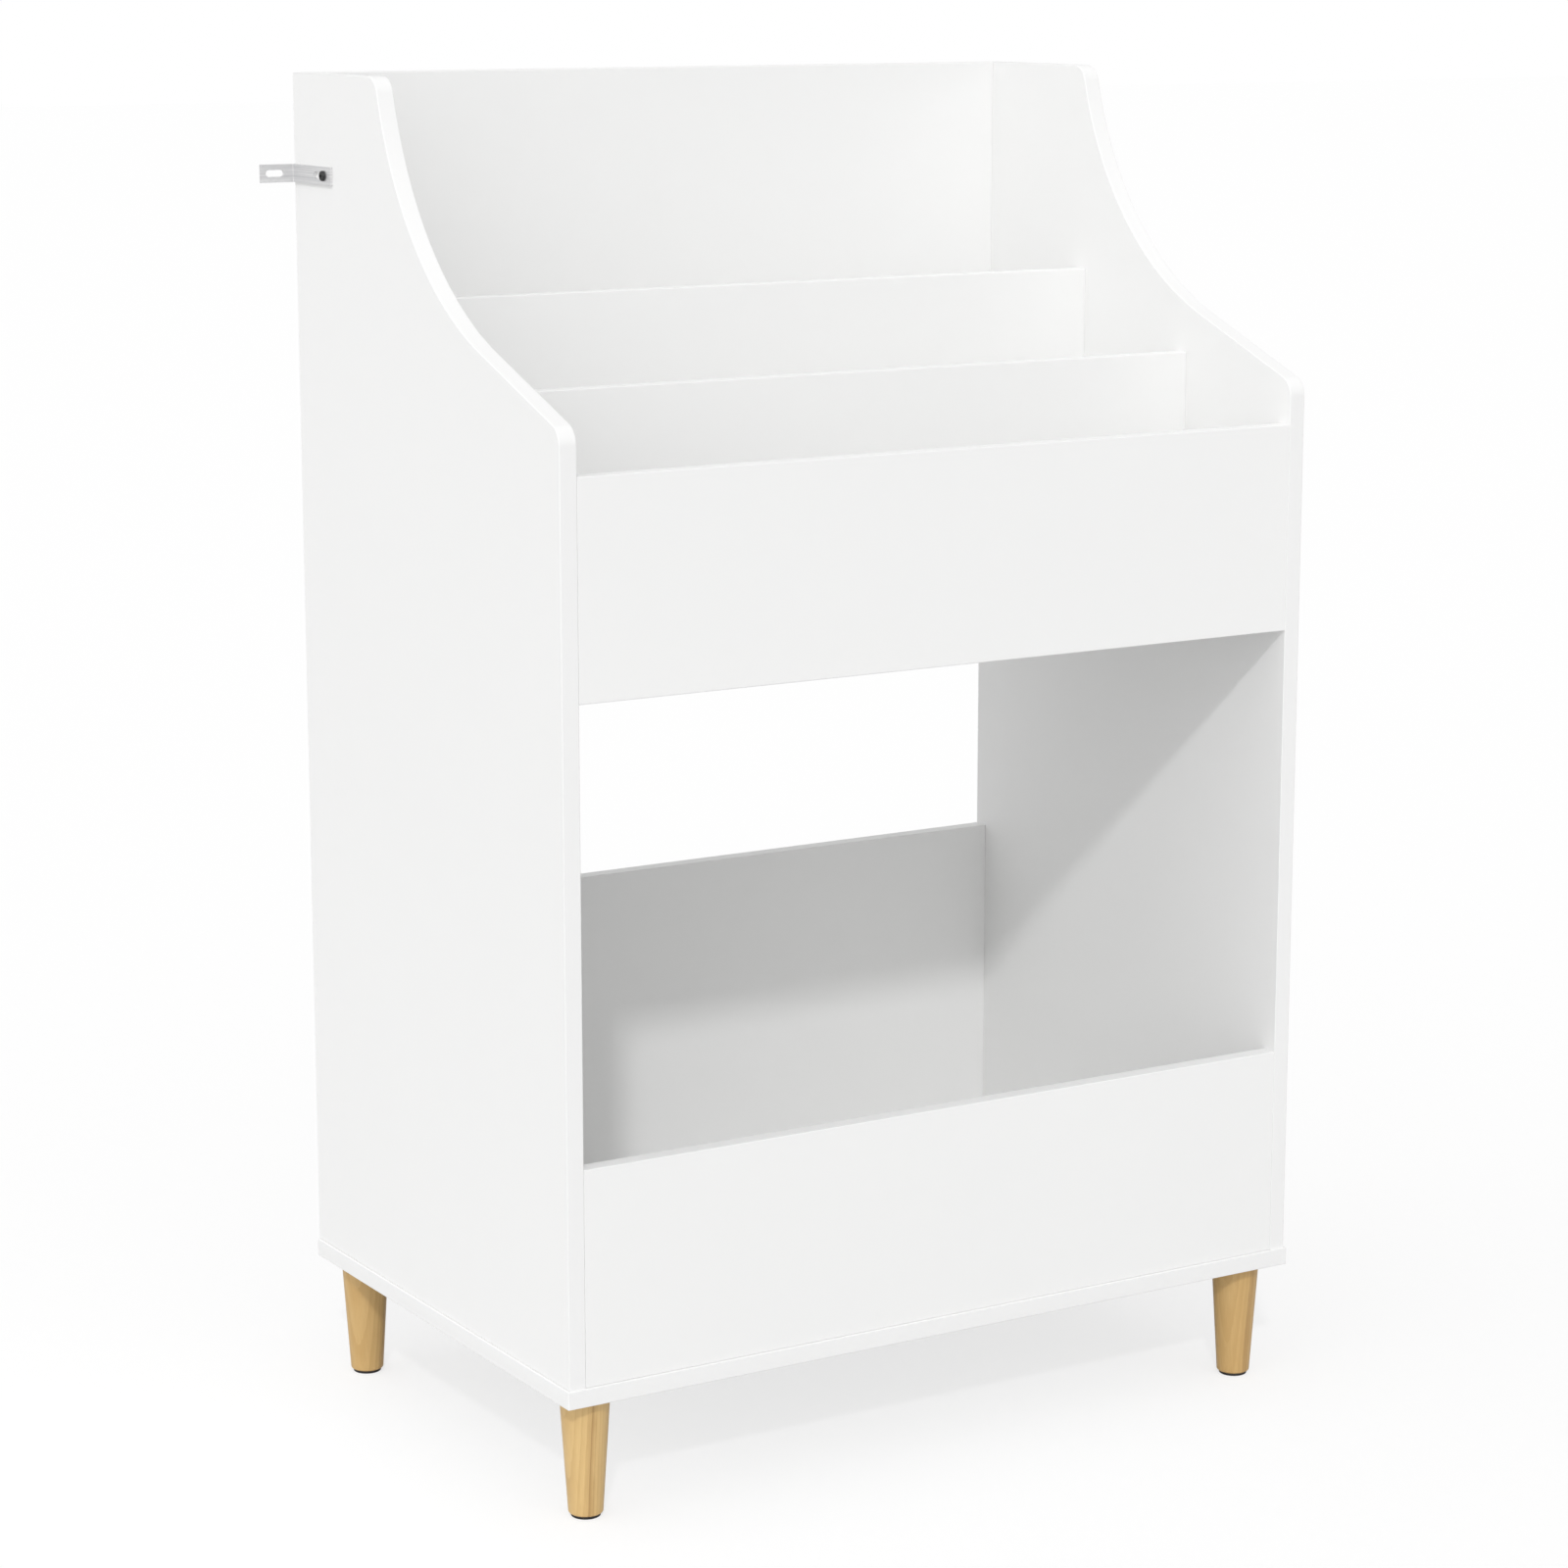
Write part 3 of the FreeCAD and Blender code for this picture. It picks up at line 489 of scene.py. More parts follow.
floor_before = {"middle_divider": "front_bin_floor", "rear_divider": "middle_bin_floor",
                "upper_back_panel": "rear_bin_floor"}
cam_places = []
floor_screw_places = []


def cut_board(name, node):
    """A board between the sides: long edges taped and rounded, ends cut square."""
    low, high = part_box(node)
    cut = add_box(name, low, high)
    start_edit(cut)
    pick_edges(cut, lambda a, b: abs(a.x - b.x) > (high.x - low.x) / 2)
    round_edges(tape_round, tape_steps)
    pick_edges(cut, lambda a, b: abs(a.x - b.x) < joint_round
               and abs(abs(a.x) - high.x) < joint_round)
    round_edges(joint_round, 1)
    end_edit()
    return cut


for node, name in upright_boards.items():
    low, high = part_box(node)
    middle = (low.y + high.y) / 2
    cam_offsets, dowel_offset = upright_fittings[node]
    upright = cut_board(name, node)
    face_holes, edge_holes = [], []
    for side_sign in (-1, 1):
        end = side_sign * high.x
        inward = (-side_sign, 0, 0)
        dowel_mouth = (end, middle, height_on(node, dowel_offset))
        edge_holes.append((dowel_mouth, inward, dowel_bore, dowel_bore_depth))
        for offset in cam_offsets:
            height = height_on(node, offset)
            cam_places.append(Vector((side_sign * cam_across, high.y, height)))
            face_holes.append((cam_places[-1], forward, cam_bore, cam_bore_depth))
            edge_holes.append(((end, middle, height), inward, bolt_bore, bolt_bore_depth))
        if node in floor_before:
            floor_low, floor_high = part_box(floor_before[node])
            level = (floor_low.z + floor_high.z) / 2
            mouth = Vector((side_sign * floor_screw_across, high.y, level))
            floor_screw_places.append(mouth)
            face_holes.append((mouth, forward, floor_screw_bore, floor_screw_bore_depth))
            edge_holes.append((mouth, forward, floor_shank_bore, 2 * (high.y - low.y)))
        elif low.z < base_high.z + joint_round:
            mouth = (side_sign * board_screw_across, middle, low.z)
            edge_holes.append((mouth, upward, base_shank_bore, base_screw_bite))
    drill(upright, *face_holes)
    drill(upright, *edge_holes)
    even_shading(upright)
    hand_over(upright, upright_white, "white_board", node)


# Bin floors: three stepped white boards, each behind and above the one before it. They sit between
# the sides on dowels, and a pair of screws through the upright behind holds the rear edge.
floor_screw_bite = 0.0253
bin_floors = {"front_bin_floor": "front_floor_board", "middle_bin_floor": "middle_floor_board",
              "rear_bin_floor": "rear_floor_board"}
for node, name in bin_floors.items():
    low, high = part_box(node)
    level = (low.z + high.z) / 2
    shelf = cut_board(name, node)
    edge_holes = []
    for side_sign in (-1, 1):
        for along in (low.y + fitting_edge, high.y - fitting_edge):
            end = (side_sign * high.x, along, level)
            edge_holes.append((end, (-side_sign, 0, 0), dowel_bore, dowel_bore_depth))
        rear_edge = (side_sign * floor_screw_across, high.y, level)
        edge_holes.append((rear_edge, forward, floor_shank_bore, floor_screw_bite))
    drill(shelf, *edge_holes)
    even_shading(shelf)
    hand_over(shelf, level_white, "white_board", node)


# Cam locks: die-cast zinc discs that turn in the boards' rear faces and draw the side panels tight.
# The face of each is dished inside a rim and has a cross slot for the screwdriver, and a bore from
# the side lets the bolt's head in.
cam_diameter = 0.015
cam_depth = 0.012
cam_recess = 0.0005
cam_rim = 0.0012
cam_dish = 0.0006
bolt_axis_depth = 0.007
bolt_past_centre = 0.0023
slot_long = 0.0092
slot_wide = 0.0017
slot_deep = 0.0024
straight = 0.99
quarter_turn = math.pi / 2
cloud_spread = (0.3, 0.7)


def looks_up(middle, normal):
    """Tells the faces that look straight up."""
    return normal.z > straight


def pick_faces(piece, wanted):
    """Selects the faces of a piece in edit mode by their middle and normal."""
    bpy.ops.mesh.select_mode(type="FACE")
    bpy.ops.mesh.select_all(action="DESELECT")
    shape = bmesh.from_edit_mesh(piece.data)
    for face in shape.faces:
        if wanted(face.calc_center_median(), face.normal):
            face.select_set(True)
    bmesh.update_edit_mesh(piece.data)


def new_rod(name, diameter, low, high, corners=bore_corners):
    """Starts a piece from an upright rod between two heights over the origin."""
    return new_piece(name, bpy.ops.mesh.primitive_cylinder_add, vertices=corners,
                     radius=diameter / 2, depth=high - low, location=(0, 0, (low + high) / 2))


def drawn_out(tree, place, scale, turn=(0, 0, 0)):
    """A place in the piece, scaled apart along each axis so that a pattern there has a grain."""
    return wire(tree, "Mapping", {"Vector": place, "Rotation": turn, "Scale": scale}).outputs[0]


def metal(name, light, dark, roughness, grain):
    """A metal finish with streaks of tone and gloss along it."""
    finish, tree, shader = new_finish(name)
    cloud = noise(tree, drawn_out(tree, in_piece(tree), grain),
                  scale=1.0, detail=5.0, roughness=0.6)
    share = remap(tree, cloud, cloud_spread, (0.0, 1.0))
    feed(tree, shader, {
        "Base Color": mix_tones(tree, share, light, dark), "Metallic": 1.0,
        "Roughness": remap(tree, cloud, cloud_spread, roughness),
        "Normal": bump(tree, cloud, strength=0.15, distance=0.0001)})
    return finish


def cross_slot(piece, face, long, wide, deep):
    """Cuts a cross for a screwdriver into a face that points up."""
    for across, along in ((long, wide), (wide, long)):
        half = Vector((across / 2, along / 2, 0))
        middle = Vector((0, 0, face))
        reach = Vector((0, 0, deep))
        carve(piece, add_box("cutter", middle - half - reach, middle + half + reach))


cam = new_rod("cam_lock_pattern", cam_diameter, -cam_depth, 0)
start_edit(cam)
pick_faces(cam, looks_up)
bpy.ops.mesh.inset(thickness=cam_rim, depth=0)
bpy.ops.mesh.inset(thickness=cam_dish, depth=-cam_dish)
end_edit()
cross_slot(cam, -cam_dish, slot_long, slot_wide, slot_deep)
bolt_mouth = (cam_diameter / 2, 0, -bolt_axis_depth)
drill(cam, (bolt_mouth, (-1, 0, 0), bolt_bore, cam_diameter / 2 + bolt_past_centre))
even_shading(cam)
die_cast = metal("die_cast_zinc", light=(0.56, 0.56, 0.57, 1), dark=(0.42, 0.42, 0.43, 1),
                 roughness=(0.35, 0.55), grain=(420, 420, 420))
for number, mouth in enumerate(cam_places, start=1):
    sunk = mouth - Vector((0, cam_recess, 0))
    turn = (-quarter_turn, 0 if mouth.x > 0 else math.pi, 0)
    placed = copy_piece(cam, f"cam_lock_{number:02d}", sunk, turn)
    hand_over(placed, die_cast, "zinc_steel", "cam_locks")
bpy.data.objects.remove(cam)


# Base screws: zinc-plated steel screws with flat heads, a hexagon socket, a plain neck and a coarse
# thread. They hold the base panel under the sides and under the two lower boards.
base_head = 0.010
base_head_depth = 0.004
base_shank = 0.005
base_shank_length = 0.0455
base_plain = 0.013
base_pitch = 0.0022
head_recess = 0.0005
head_round = 0.0004
head_steps = 3
socket_across = 0.0045
socket_deep = 0.0028
socket_sides = 6
thread_lead = 0.125
thread_root = 0.36
point_length = 0.5
point_blunt = 0.12


def looks_down(middle, normal):
    """Tells the faces that look straight down."""
    return normal.z < -straight


def thread_rings(start, end, pitch, root, crest):
    """Heights and radii of the valleys and ridges of a thread, from one end to the other."""
    steps = 2 * round(abs(end - start) / pitch)
    return [(start + (end - start) * step / steps, crest if step % 2 else root)
            for step in range(steps + 1)]


def draw_rings(height, radius, rings):
    """Draws the selected round face on through rings of other heights and radii."""
    for next_height, next_radius in rings:
        extrude((0, 0, next_height - height))
        grow = next_radius / radius
        bpy.ops.transform.resize(value=(grow, grow, 1), center_override=(0, 0, next_height))
        height, radius = next_height, next_radius


def flat_screw(name, head, head_depth, shank, shank_length, plain, pitch):
    """A flat-headed screw standing head up, its face at the origin, threaded below a plain neck."""
    screw = new_rod(name, head, -head_depth, 0)
    start_edit(screw)
    pick_edges(screw, lambda a, b: min(a.z, b.z) > -head_round)
    round_edges(head_round, head_steps)
    pick_faces(screw, looks_down)
    bpy.ops.mesh.inset(thickness=(head - shank) / 2, depth=0)
    neck_end = -head_depth - plain
    point = -head_depth - shank_length
    thread = thread_rings(neck_end - thread_lead * shank, point + point_length * shank, pitch,
                          thread_root * shank, shank / 2)
    draw_rings(-head_depth, shank / 2,
               [(neck_end, shank / 2), *thread, (point, point_blunt * shank)])
    end_edit()
    return screw


base_screw = flat_screw("base_screw_pattern", base_head, base_head_depth, base_shank,
                        base_shank_length, base_plain, base_pitch)
carve(base_screw, new_rod("cutter", socket_across, -socket_deep, socket_deep, socket_sides))
even_shading(base_screw)
plated = metal("zinc_plate", light=(0.60, 0.60, 0.60, 1), dark=(0.46, 0.46, 0.47, 1),
               roughness=(0.22, 0.4), grain=(260, 260, 260))
for number, (across, along) in enumerate(base_screw_places, start=1):
    sunk = (across, along, base_low.z + head_recess)
    placed = copy_piece(base_screw, f"base_screw_{number:02d}", sunk, (math.pi, 0, 0))
    hand_over(placed, plated, "zinc_steel", "base_screws")
bpy.data.objects.remove(base_screw)


# Floor screws: zinc-plated steel screws with flat heads and a cross slot, driven through each
# upright into the rear edge of the bin floor in front of it.
floor_head = 0.008
floor_head_depth = 0.003
floor_shank = 0.004
floor_shank_length = 0.0365
floor_plain = 0.011
floor_pitch = 0.0018
floor_cross_long = 0.0044
floor_cross_wide = 0.0011
floor_cross_deep = 0.0016
floor_screw = flat_screw("floor_screw_pattern", floor_head, floor_head_depth, floor_shank,
                         floor_shank_length, floor_plain, floor_pitch)
cross_slot(floor_screw, 0, floor_cross_long, floor_cross_wide, floor_cross_deep)
even_shading(floor_screw)
for number, mouth in enumerate(floor_screw_places, start=1):
    sunk = mouth - Vector((0, head_recess, 0))
    placed = copy_piece(floor_screw, f"floor_screw_{number:02d}", sunk, (-quarter_turn, 0, 0))
    hand_over(placed, plated, "zinc_steel", "floor_screws")
bpy.data.objects.remove(floor_screw)


# Dowels: fluted beech pins with chamfered ends, glued into the boards' ends and into the side
# panels. They set each board in its place while the cams draw the joint tight.
dowel_diameter = 0.008
dowel_in_board = 0.020
dowel_in_side = 0.0107
dowel_corners = 32
dowel_chamfer = 0.001
flute_depth = 0.0003
beech_light = (0.66, 0.45, 0.27, 1)
beech_dark = (0.45, 0.27, 0.14, 1)
beech_grain = (30, 900, 900)
both_sides = (("left", -1), ("right", 1))
dowel_wood, tree, shader = new_finish("beech_dowel")
streak = noise(tree, drawn_out(tree, in_piece(tree), beech_grain),
               scale=1.0, detail=4.0, roughness=0.6)
feed(tree, shader, {"Base Color": mix_tones(tree, streak, beech_light, beech_dark),
                    "Roughness": 0.7})


def fit_both_sides(pattern, sockets, label, finish, slot, node):
    """Puts copies of a pattern into the joints of both sides, then takes the pattern away."""
    for number, (along, height) in enumerate(sockets, start=1):
        for side_name, side_sign in both_sides:
            placed = copy_piece(pattern, f"{side_name}_{label}_{number:02d}",
                                (side_sign * side_low.x, along, height),
                                (0, side_sign * quarter_turn, 0))
            hand_over(placed, finish, slot, node)
    bpy.data.objects.remove(pattern)


dowel = new_rod("dowel_pattern", dowel_diameter, -dowel_in_board, dowel_in_side, dowel_corners)
start_edit(dowel)
pick_edges(dowel, lambda a, b: abs(a.z - b.z) < dowel_chamfer)
round_edges(dowel_chamfer, 1)
facet_turn = 2 * math.pi / dowel_corners
pick_faces(dowel, lambda middle, normal: abs(normal.z) < 1 - straight
           and math.floor(math.atan2(middle.y, middle.x) / facet_turn) % 2 == 0)
bpy.ops.mesh.inset(thickness=flute_depth / 2, depth=-flute_depth, use_individual=True)
end_edit()
even_shading(dowel)
fit_both_sides(dowel, dowel_sockets, "dowel", dowel_wood, "beech", "dowels")


# Cam bolts: turned steel pins, zinc-plated and screwed into the side panels. A cam grips the head
# of each behind its narrow neck.
bolt_corners = 24
bolt_thread = 0.0025
bolt_root = 0.0021
bolt_pitch = 0.0015
bolt_in_side = 0.0107
# The height and radius of each ring, from the head through the neck and the collar to the thread.
bolt_profile = [
    (-0.0260, 0.0024), (-0.0254, 0.0032), (-0.0236, 0.0032), (-0.0230, 0.0019), (-0.0190, 0.0019),
    (-0.0180, 0.0030), (-0.0020, 0.0030), (-0.0015, 0.0035), (0.0, 0.0035),
    *thread_rings(0.0002, bolt_in_side, bolt_pitch, bolt_root, bolt_thread),
]


def turned_pin(name, profile):
    """A pin turned about the upright axis, drawn up from its lowest ring."""
    height, radius = profile[0]
    pin = new_piece(name, bpy.ops.mesh.primitive_circle_add, vertices=bolt_corners, radius=radius,
                    fill_type="NGON", location=(0, 0, height))
    bpy.ops.object.mode_set(mode="EDIT")
    bpy.ops.mesh.select_mode(type="FACE")
    bpy.ops.mesh.select_all(action="SELECT")
    draw_rings(height, radius, profile[1:])
    bpy.ops.mesh.select_all(action="SELECT")
    bpy.ops.mesh.normals_make_consistent(inside=False)
    end_edit()
    return pin


bolt = turned_pin("cam_bolt_pattern", bolt_profile)
even_shading(bolt)
fit_both_sides(bolt, bolt_sockets, "cam_bolt", plated, "zinc_steel", "cam_bolts")


# Leg bolts and sleeves: a ribbed steel sleeve is pressed into the base panel from below at each
# corner, and a threaded rod set in the top of the leg screws into it.
leg_bolt_low = -0.030
leg_bolt_high = 0.0127
leg_bolt_thread = 0.0040
leg_bolt_root = 0.0034
leg_bolt_pitch = 0.002
sleeve_length = 0.013
sleeve_barb = 0.0060
sleeve_root = 0.0055
sleeve_pitch = 0.0026
sleeve_hole = 0.0086
leg_bolt = turned_pin("leg_bolt_pattern", thread_rings(
    leg_bolt_low, leg_bolt_high, leg_bolt_pitch, leg_bolt_root, leg_bolt_thread))
sleeve = turned_pin("leg_sleeve_pattern", thread_rings(
    0, sleeve_length, sleeve_pitch, sleeve_root, sleeve_barb))
drill(sleeve, ((0, 0, 0), upward, sleeve_hole, 2 * sleeve_length))
even_shading(leg_bolt)
even_shading(sleeve)
for corner_name, joint in leg_joints.items():
    placed = copy_piece(leg_bolt, corner_name + "_leg_bolt", joint)
    hand_over(placed, plated, "zinc_steel", "leg_bolts")
    placed = copy_piece(sleeve, corner_name + "_leg_sleeve", joint)
    hand_over(placed, plated, "zinc_steel", "leg_inserts")
bpy.data.objects.remove(leg_bolt)
bpy.data.objects.remove(sleeve)


# Legs: round tapers turned from pale wood and lacquered, bolted into the base panel near its
# corners. The growth rings run round a heart that lies outside each leg, so that they show as long
# upright streaks.
leg_top = 0.041
leg_foot = 0.028
foot_round = 0.002
foot_steps = 6
leg_facets = 96
leg_bolt_bore = 0.0086
leg_bolt_bore_depth = 0.0303
glide_pin_bore = 0.0031
glide_pin_bore_depth = 0.0123
early_wood = (0.80, 0.575, 0.265, 1)
late_wood = (0.575, 0.362, 0.136, 1)
dark_wood = (0.40, 0.225, 0.075, 1)
ring_tilt = (0.03, 0.02, 0)
ring_grain = (1, 1, 0.08)
fibre_grain = (1100, 1100, 22)
cloud_grain = (110, 110, 28)
ring_sharpness = 2.0
ring_depth = 0.32
fibre_depth = 0.45
cloud_depth = 0.35
ring_wander = 0.006
band_reach = 0.0045
band_least = 0.38
band_lines = 0.5
wood_roughness = (0.36, 0.54)
# The place of each leg's heart, how far its one dark ring lies from it, and how dark the whole leg
# is made:
# partly the wood's own ripeness, partly painted shade on the legs that stand in the base's shadow.
hearts = {
    "front_left": ((-0.2435, -0.1995, 0), 0.0885, 0.03),
    "front_right": ((0.255, -0.245, 0), 0.080, 0.45),
    "rear_left": ((-0.255, 0.255, 0), 0.092, 0.36),
    "rear_right": ((0.370, 0.145, 0), 0.070, 0.25),
}
turned_wood, wood_in, wood_out = new_group(
    "turned_wood", {"Heart": "Vector", "Dark ring": "Float", "Ripeness and shade": "Float"},
    {"Color": "Color", "Roughness": "Float", "Height": "Float"})
from_heart = wire(turned_wood, "VectorMath",
                  {0: in_piece(turned_wood), 1: wood_in.outputs["Heart"]},
                  operation="SUBTRACT").outputs[0]
ring_place = drawn_out(turned_wood, from_heart, ring_grain, ring_tilt)
rings = wire(turned_wood, "TexWave",
             {"Vector": ring_place, "Scale": 95.0, "Distortion": 2.0, "Detail": 3.0,
              "Detail Scale": 1.4, "Detail Roughness": 0.6},
             wave_type="RINGS", rings_direction="Z", wave_profile="SAW").outputs["Fac"]
ring_line = calc(turned_wood, "POWER", rings, ring_sharpness)
fibre = noise(turned_wood, drawn_out(turned_wood, from_heart, fibre_grain),
              scale=1.0, detail=3.0, roughness=0.6)
cloud = noise(turned_wood, drawn_out(turned_wood, from_heart, cloud_grain),
              scale=1.0, detail=3.0, roughness=0.55)
flat_place = wire(turned_wood, "VectorMath", {0: ring_place, 1: (1, 1, 0)},
                  operation="MULTIPLY").outputs[0]
ring_radius = wire(turned_wood, "VectorMath", {0: flat_place}, operation="LENGTH").outputs["Value"]
ring_radius = calc(turned_wood, "MULTIPLY_ADD", cloud, ring_wander, ring_radius)
ring_off = calc(turned_wood, "SUBTRACT", ring_radius, wood_in.outputs["Dark ring"])
ring_off = calc(turned_wood, "ABSOLUTE", ring_off)
band = remap(turned_wood, ring_off, (0.0, band_reach), (1.0, 0.0), interpolation_type="SMOOTHSTEP")
ring_share = calc(turned_wood, "MULTIPLY", ring_line, ring_depth)
fibre_share = calc(turned_wood, "MULTIPLY_ADD", fibre, fibre_depth, ring_share)
tone_share = calc(turned_wood, "MULTIPLY_ADD", cloud, cloud_depth, fibre_share)
# Darkens the whole leg: partly the wood's own ripeness, partly painted shade where the base shades
# the leg.
tone_share = calc(turned_wood, "ADD", tone_share, wood_in.outputs["Ripeness and shade"])
wood_tone = mix_tones(turned_wood, tone_share, early_wood, late_wood)
band_line = calc(turned_wood, "MULTIPLY_ADD", ring_line, band_lines, band_least)
band_share = calc(turned_wood, "MULTIPLY", band, band_line)
feed(turned_wood, wood_out, {
    "Color": mix_tones(turned_wood, band_share, wood_tone, dark_wood),
    "Roughness": remap(turned_wood, fibre, (0.0, 1.0), wood_roughness),
    "Height": fibre_share})


def lacquered_wood(name, heart, dark_ring, ripeness_and_shade):
    """Turned wood with its growth rings round its own heart, one of them darker, all of it darkened
    by ripeness and painted shade.
    """
    finish, tree, shader = new_finish(name)
    grain = wire(tree, "Group", {"Heart": heart, "Dark ring": dark_ring, "Ripeness and shade": ripeness_and_shade},
                 node_tree=turned_wood).outputs
    feed(tree, shader, {
        "Base Color": grain["Color"], "Roughness": grain["Roughness"],
        "Coat Weight": 0.15, "Coat Roughness": 0.3,
        "Normal": bump(tree, grain["Height"], strength=0.2, distance=0.0002)})
    return finish


for corner_name, wood_values in hearts.items():
    low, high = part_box(corner_name + "_leg")
    leg = new_piece(corner_name + "_turned_leg", bpy.ops.mesh.primitive_cone_add,
                    vertices=leg_facets, radius1=leg_foot / 2, radius2=leg_top / 2,
                    depth=high.z - low.z, location=(low + high) / 2)
    start_edit(leg)
    pick_edges(leg, lambda a, b: max(a.z, b.z) < low.z + foot_round)
    round_edges(foot_round, foot_steps)
    pick_edges(leg, lambda a, b: min(a.z, b.z) > high.z - joint_round)
    round_edges(joint_round, 2)
    end_edit()
    axis_x, axis_y, _ = leg_joints[corner_name]
    drill(leg, ((axis_x, axis_y, high.z), (0, 0, -1), leg_bolt_bore, leg_bolt_bore_depth),
          ((axis_x, axis_y, low.z), upward, glide_pin_bore, glide_pin_bore_depth))
    even_shading(leg)
    wood = lacquered_wood(corner_name + "_leg_wood", *wood_values)
    hand_over(leg, wood, "pine", corner_name + "_leg")


# Glides: dark moulded plastic discs, nailed under the legs by a pin that stands on each of them.
# The middle of the sole is sunk, with the mark of the nail's head in it.
glide_round = 0.0008
glide_steps = 4
glide_rim = 0.005
glide_sink = 0.0007
nail_head = 0.0028
glide_pin = 0.00125
glide_pin_length = 0.012
plastic_dark = (0.016, 0.014, 0.013, 1)
plastic_light = (0.034, 0.030, 0.028, 1)
plastic_roughness = (0.4, 0.62)
glide_plastic, tree, shader = new_finish("dark_glide_plastic")
speck = noise(tree, in_piece(tree), scale=1600.0, detail=2.0)
feed(tree, shader, {
    "Base Color": mix_tones(tree, speck, plastic_dark, plastic_light),
    "Roughness": remap(tree, speck, (0.0, 1.0), plastic_roughness),
    "Normal": bump(tree, speck, strength=0.2, distance=0.0001)})
glide_low, glide_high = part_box("front_left_glide")
glide_diameter = glide_high.x - glide_low.x
glide_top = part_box("front_left_leg")[0].z
glide = new_rod("glide_pattern", glide_diameter, 0, glide_top, leg_facets)
start_edit(glide)
pick_edges(glide, lambda a, b: max(a.z, b.z) < glide_round)
round_edges(glide_round, glide_steps)
pick_faces(glide, looks_down)
for thickness, depth in ((glide_rim, 0), (glide_sink, -glide_sink), (nail_head / 2, 0),
                         (glide_sink / 2, glide_sink / 2)):
    bpy.ops.mesh.inset(thickness=thickness, depth=depth)
pick_faces(glide, looks_up)
bpy.ops.mesh.inset(thickness=glide_diameter / 2 - glide_pin, depth=0)
extrude((0, 0, glide_pin_length))
end_edit()
even_shading(glide)
for corner_name in leg_corners:
    low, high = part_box(corner_name + "_glide")
    spot = ((low.x + high.x) / 2, (low.y + high.y) / 2, 0)
    placed = copy_piece(glide, corner_name + "_nailed_glide", spot)
    hand_over(placed, glide_plastic, "glide_plastic", corner_name + "_glide")
bpy.data.objects.remove(glide)


# Wall brackets: zinc-plated steel strips bent square, with a long slot in each arm. One arm lies on
# the outer face of a side panel, the other stands level with the back, ready for a screw into the
# wall.
bracket_low, bracket_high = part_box("right_wall_bracket")
strip_height = bracket_high.z - bracket_low.z
strip_middle = (bracket_low.z + bracket_high.z) / 2
strip_thickness = 0.002
strip_round = 0.0003
strip_sharp = math.radians(50)
bend_inside = 0.001
bend_steps = 10
slot_width = 0.0056
slot_end_round = 0.499 * slot_width
slot_end_steps = 12
wall_slot_length = 0.016
wall_slot_out = 0.019
side_slot_length = 0.020
side_slot_forward = 0.0523
bend_middle = Vector((bracket_low.x + strip_thickness + bend_inside,
                      bracket_high.y - strip_thickness - bend_inside, bracket_low.z))
bracket = new_piece(
    "right_bent_bracket", bpy.ops.mesh.primitive_plane_add, (strip_thickness, strip_height, 1),
    size=1, rotation=(quarter_turn, 0, 0), location=(
        bracket_low.x + strip_thickness / 2, bracket_low.y, bracket_low.z + strip_height / 2))
start_edit(bracket)
bpy.ops.mesh.select_all(action="SELECT")
extrude((0, bend_middle.y - bracket_low.y, 0))
bpy.ops.mesh.spin(steps=bend_steps, angle=quarter_turn, center=bend_middle, axis=upward)
extrude((bracket_high.x - bend_middle.x, 0, 0))
bpy.ops.mesh.select_all(action="SELECT")
bpy.ops.mesh.remove_doubles(threshold=seam_reach)
bpy.ops.mesh.normals_make_consistent(inside=False)
end_edit()


def cut_slot(piece, spot, half, through):
    """Cuts a slot with round ends about a place, right through a piece along one axis."""
    cutter = add_box("slot_cutter", spot - half, spot + half)
    start_edit(cutter)
    pick_edges(cutter, lambda a, b: abs((a - b).normalized().dot(through)) > straight)
    round_edges(slot_end_round, slot_end_steps)
    end_edit()
    carve(piece, cutter)


cut_slot(bracket, Vector((bracket_low.x + wall_slot_out, bracket_high.y, strip_middle)),
         Vector((wall_slot_length / 2, 2 * strip_thickness, slot_width / 2)), Vector((0, 1, 0)))
cut_slot(bracket, Vector((bracket_low.x, bracket_high.y - side_slot_forward, strip_middle)),
         Vector((2 * strip_thickness, side_slot_length / 2, slot_width / 2)), Vector((1, 0, 0)))
select_only(bracket)
bpy.ops.object.modifier_add(type="BEVEL")
easing = bracket.modifiers[-1]
easing.width = strip_round
easing.segments = 2
easing.limit_method = "ANGLE"
easing.angle_limit = strip_sharp
bpy.ops.object.modifier_apply(modifier=easing.name)
left_bracket = mirror_piece(bracket, "left_bent_bracket")
strip_zinc = metal("bright_zinc_strip", light=(0.95, 0.95, 0.95, 1), dark=(0.68, 0.68, 0.69, 1),
                   roughness=(0.28, 0.45), grain=(9, 9, 900))
for piece, node in ((bracket, "right_wall_bracket"), (left_bracket, "left_wall_bracket")):
    even_shading(piece)
    hand_over(piece, strip_zinc, "zinc_steel", node)


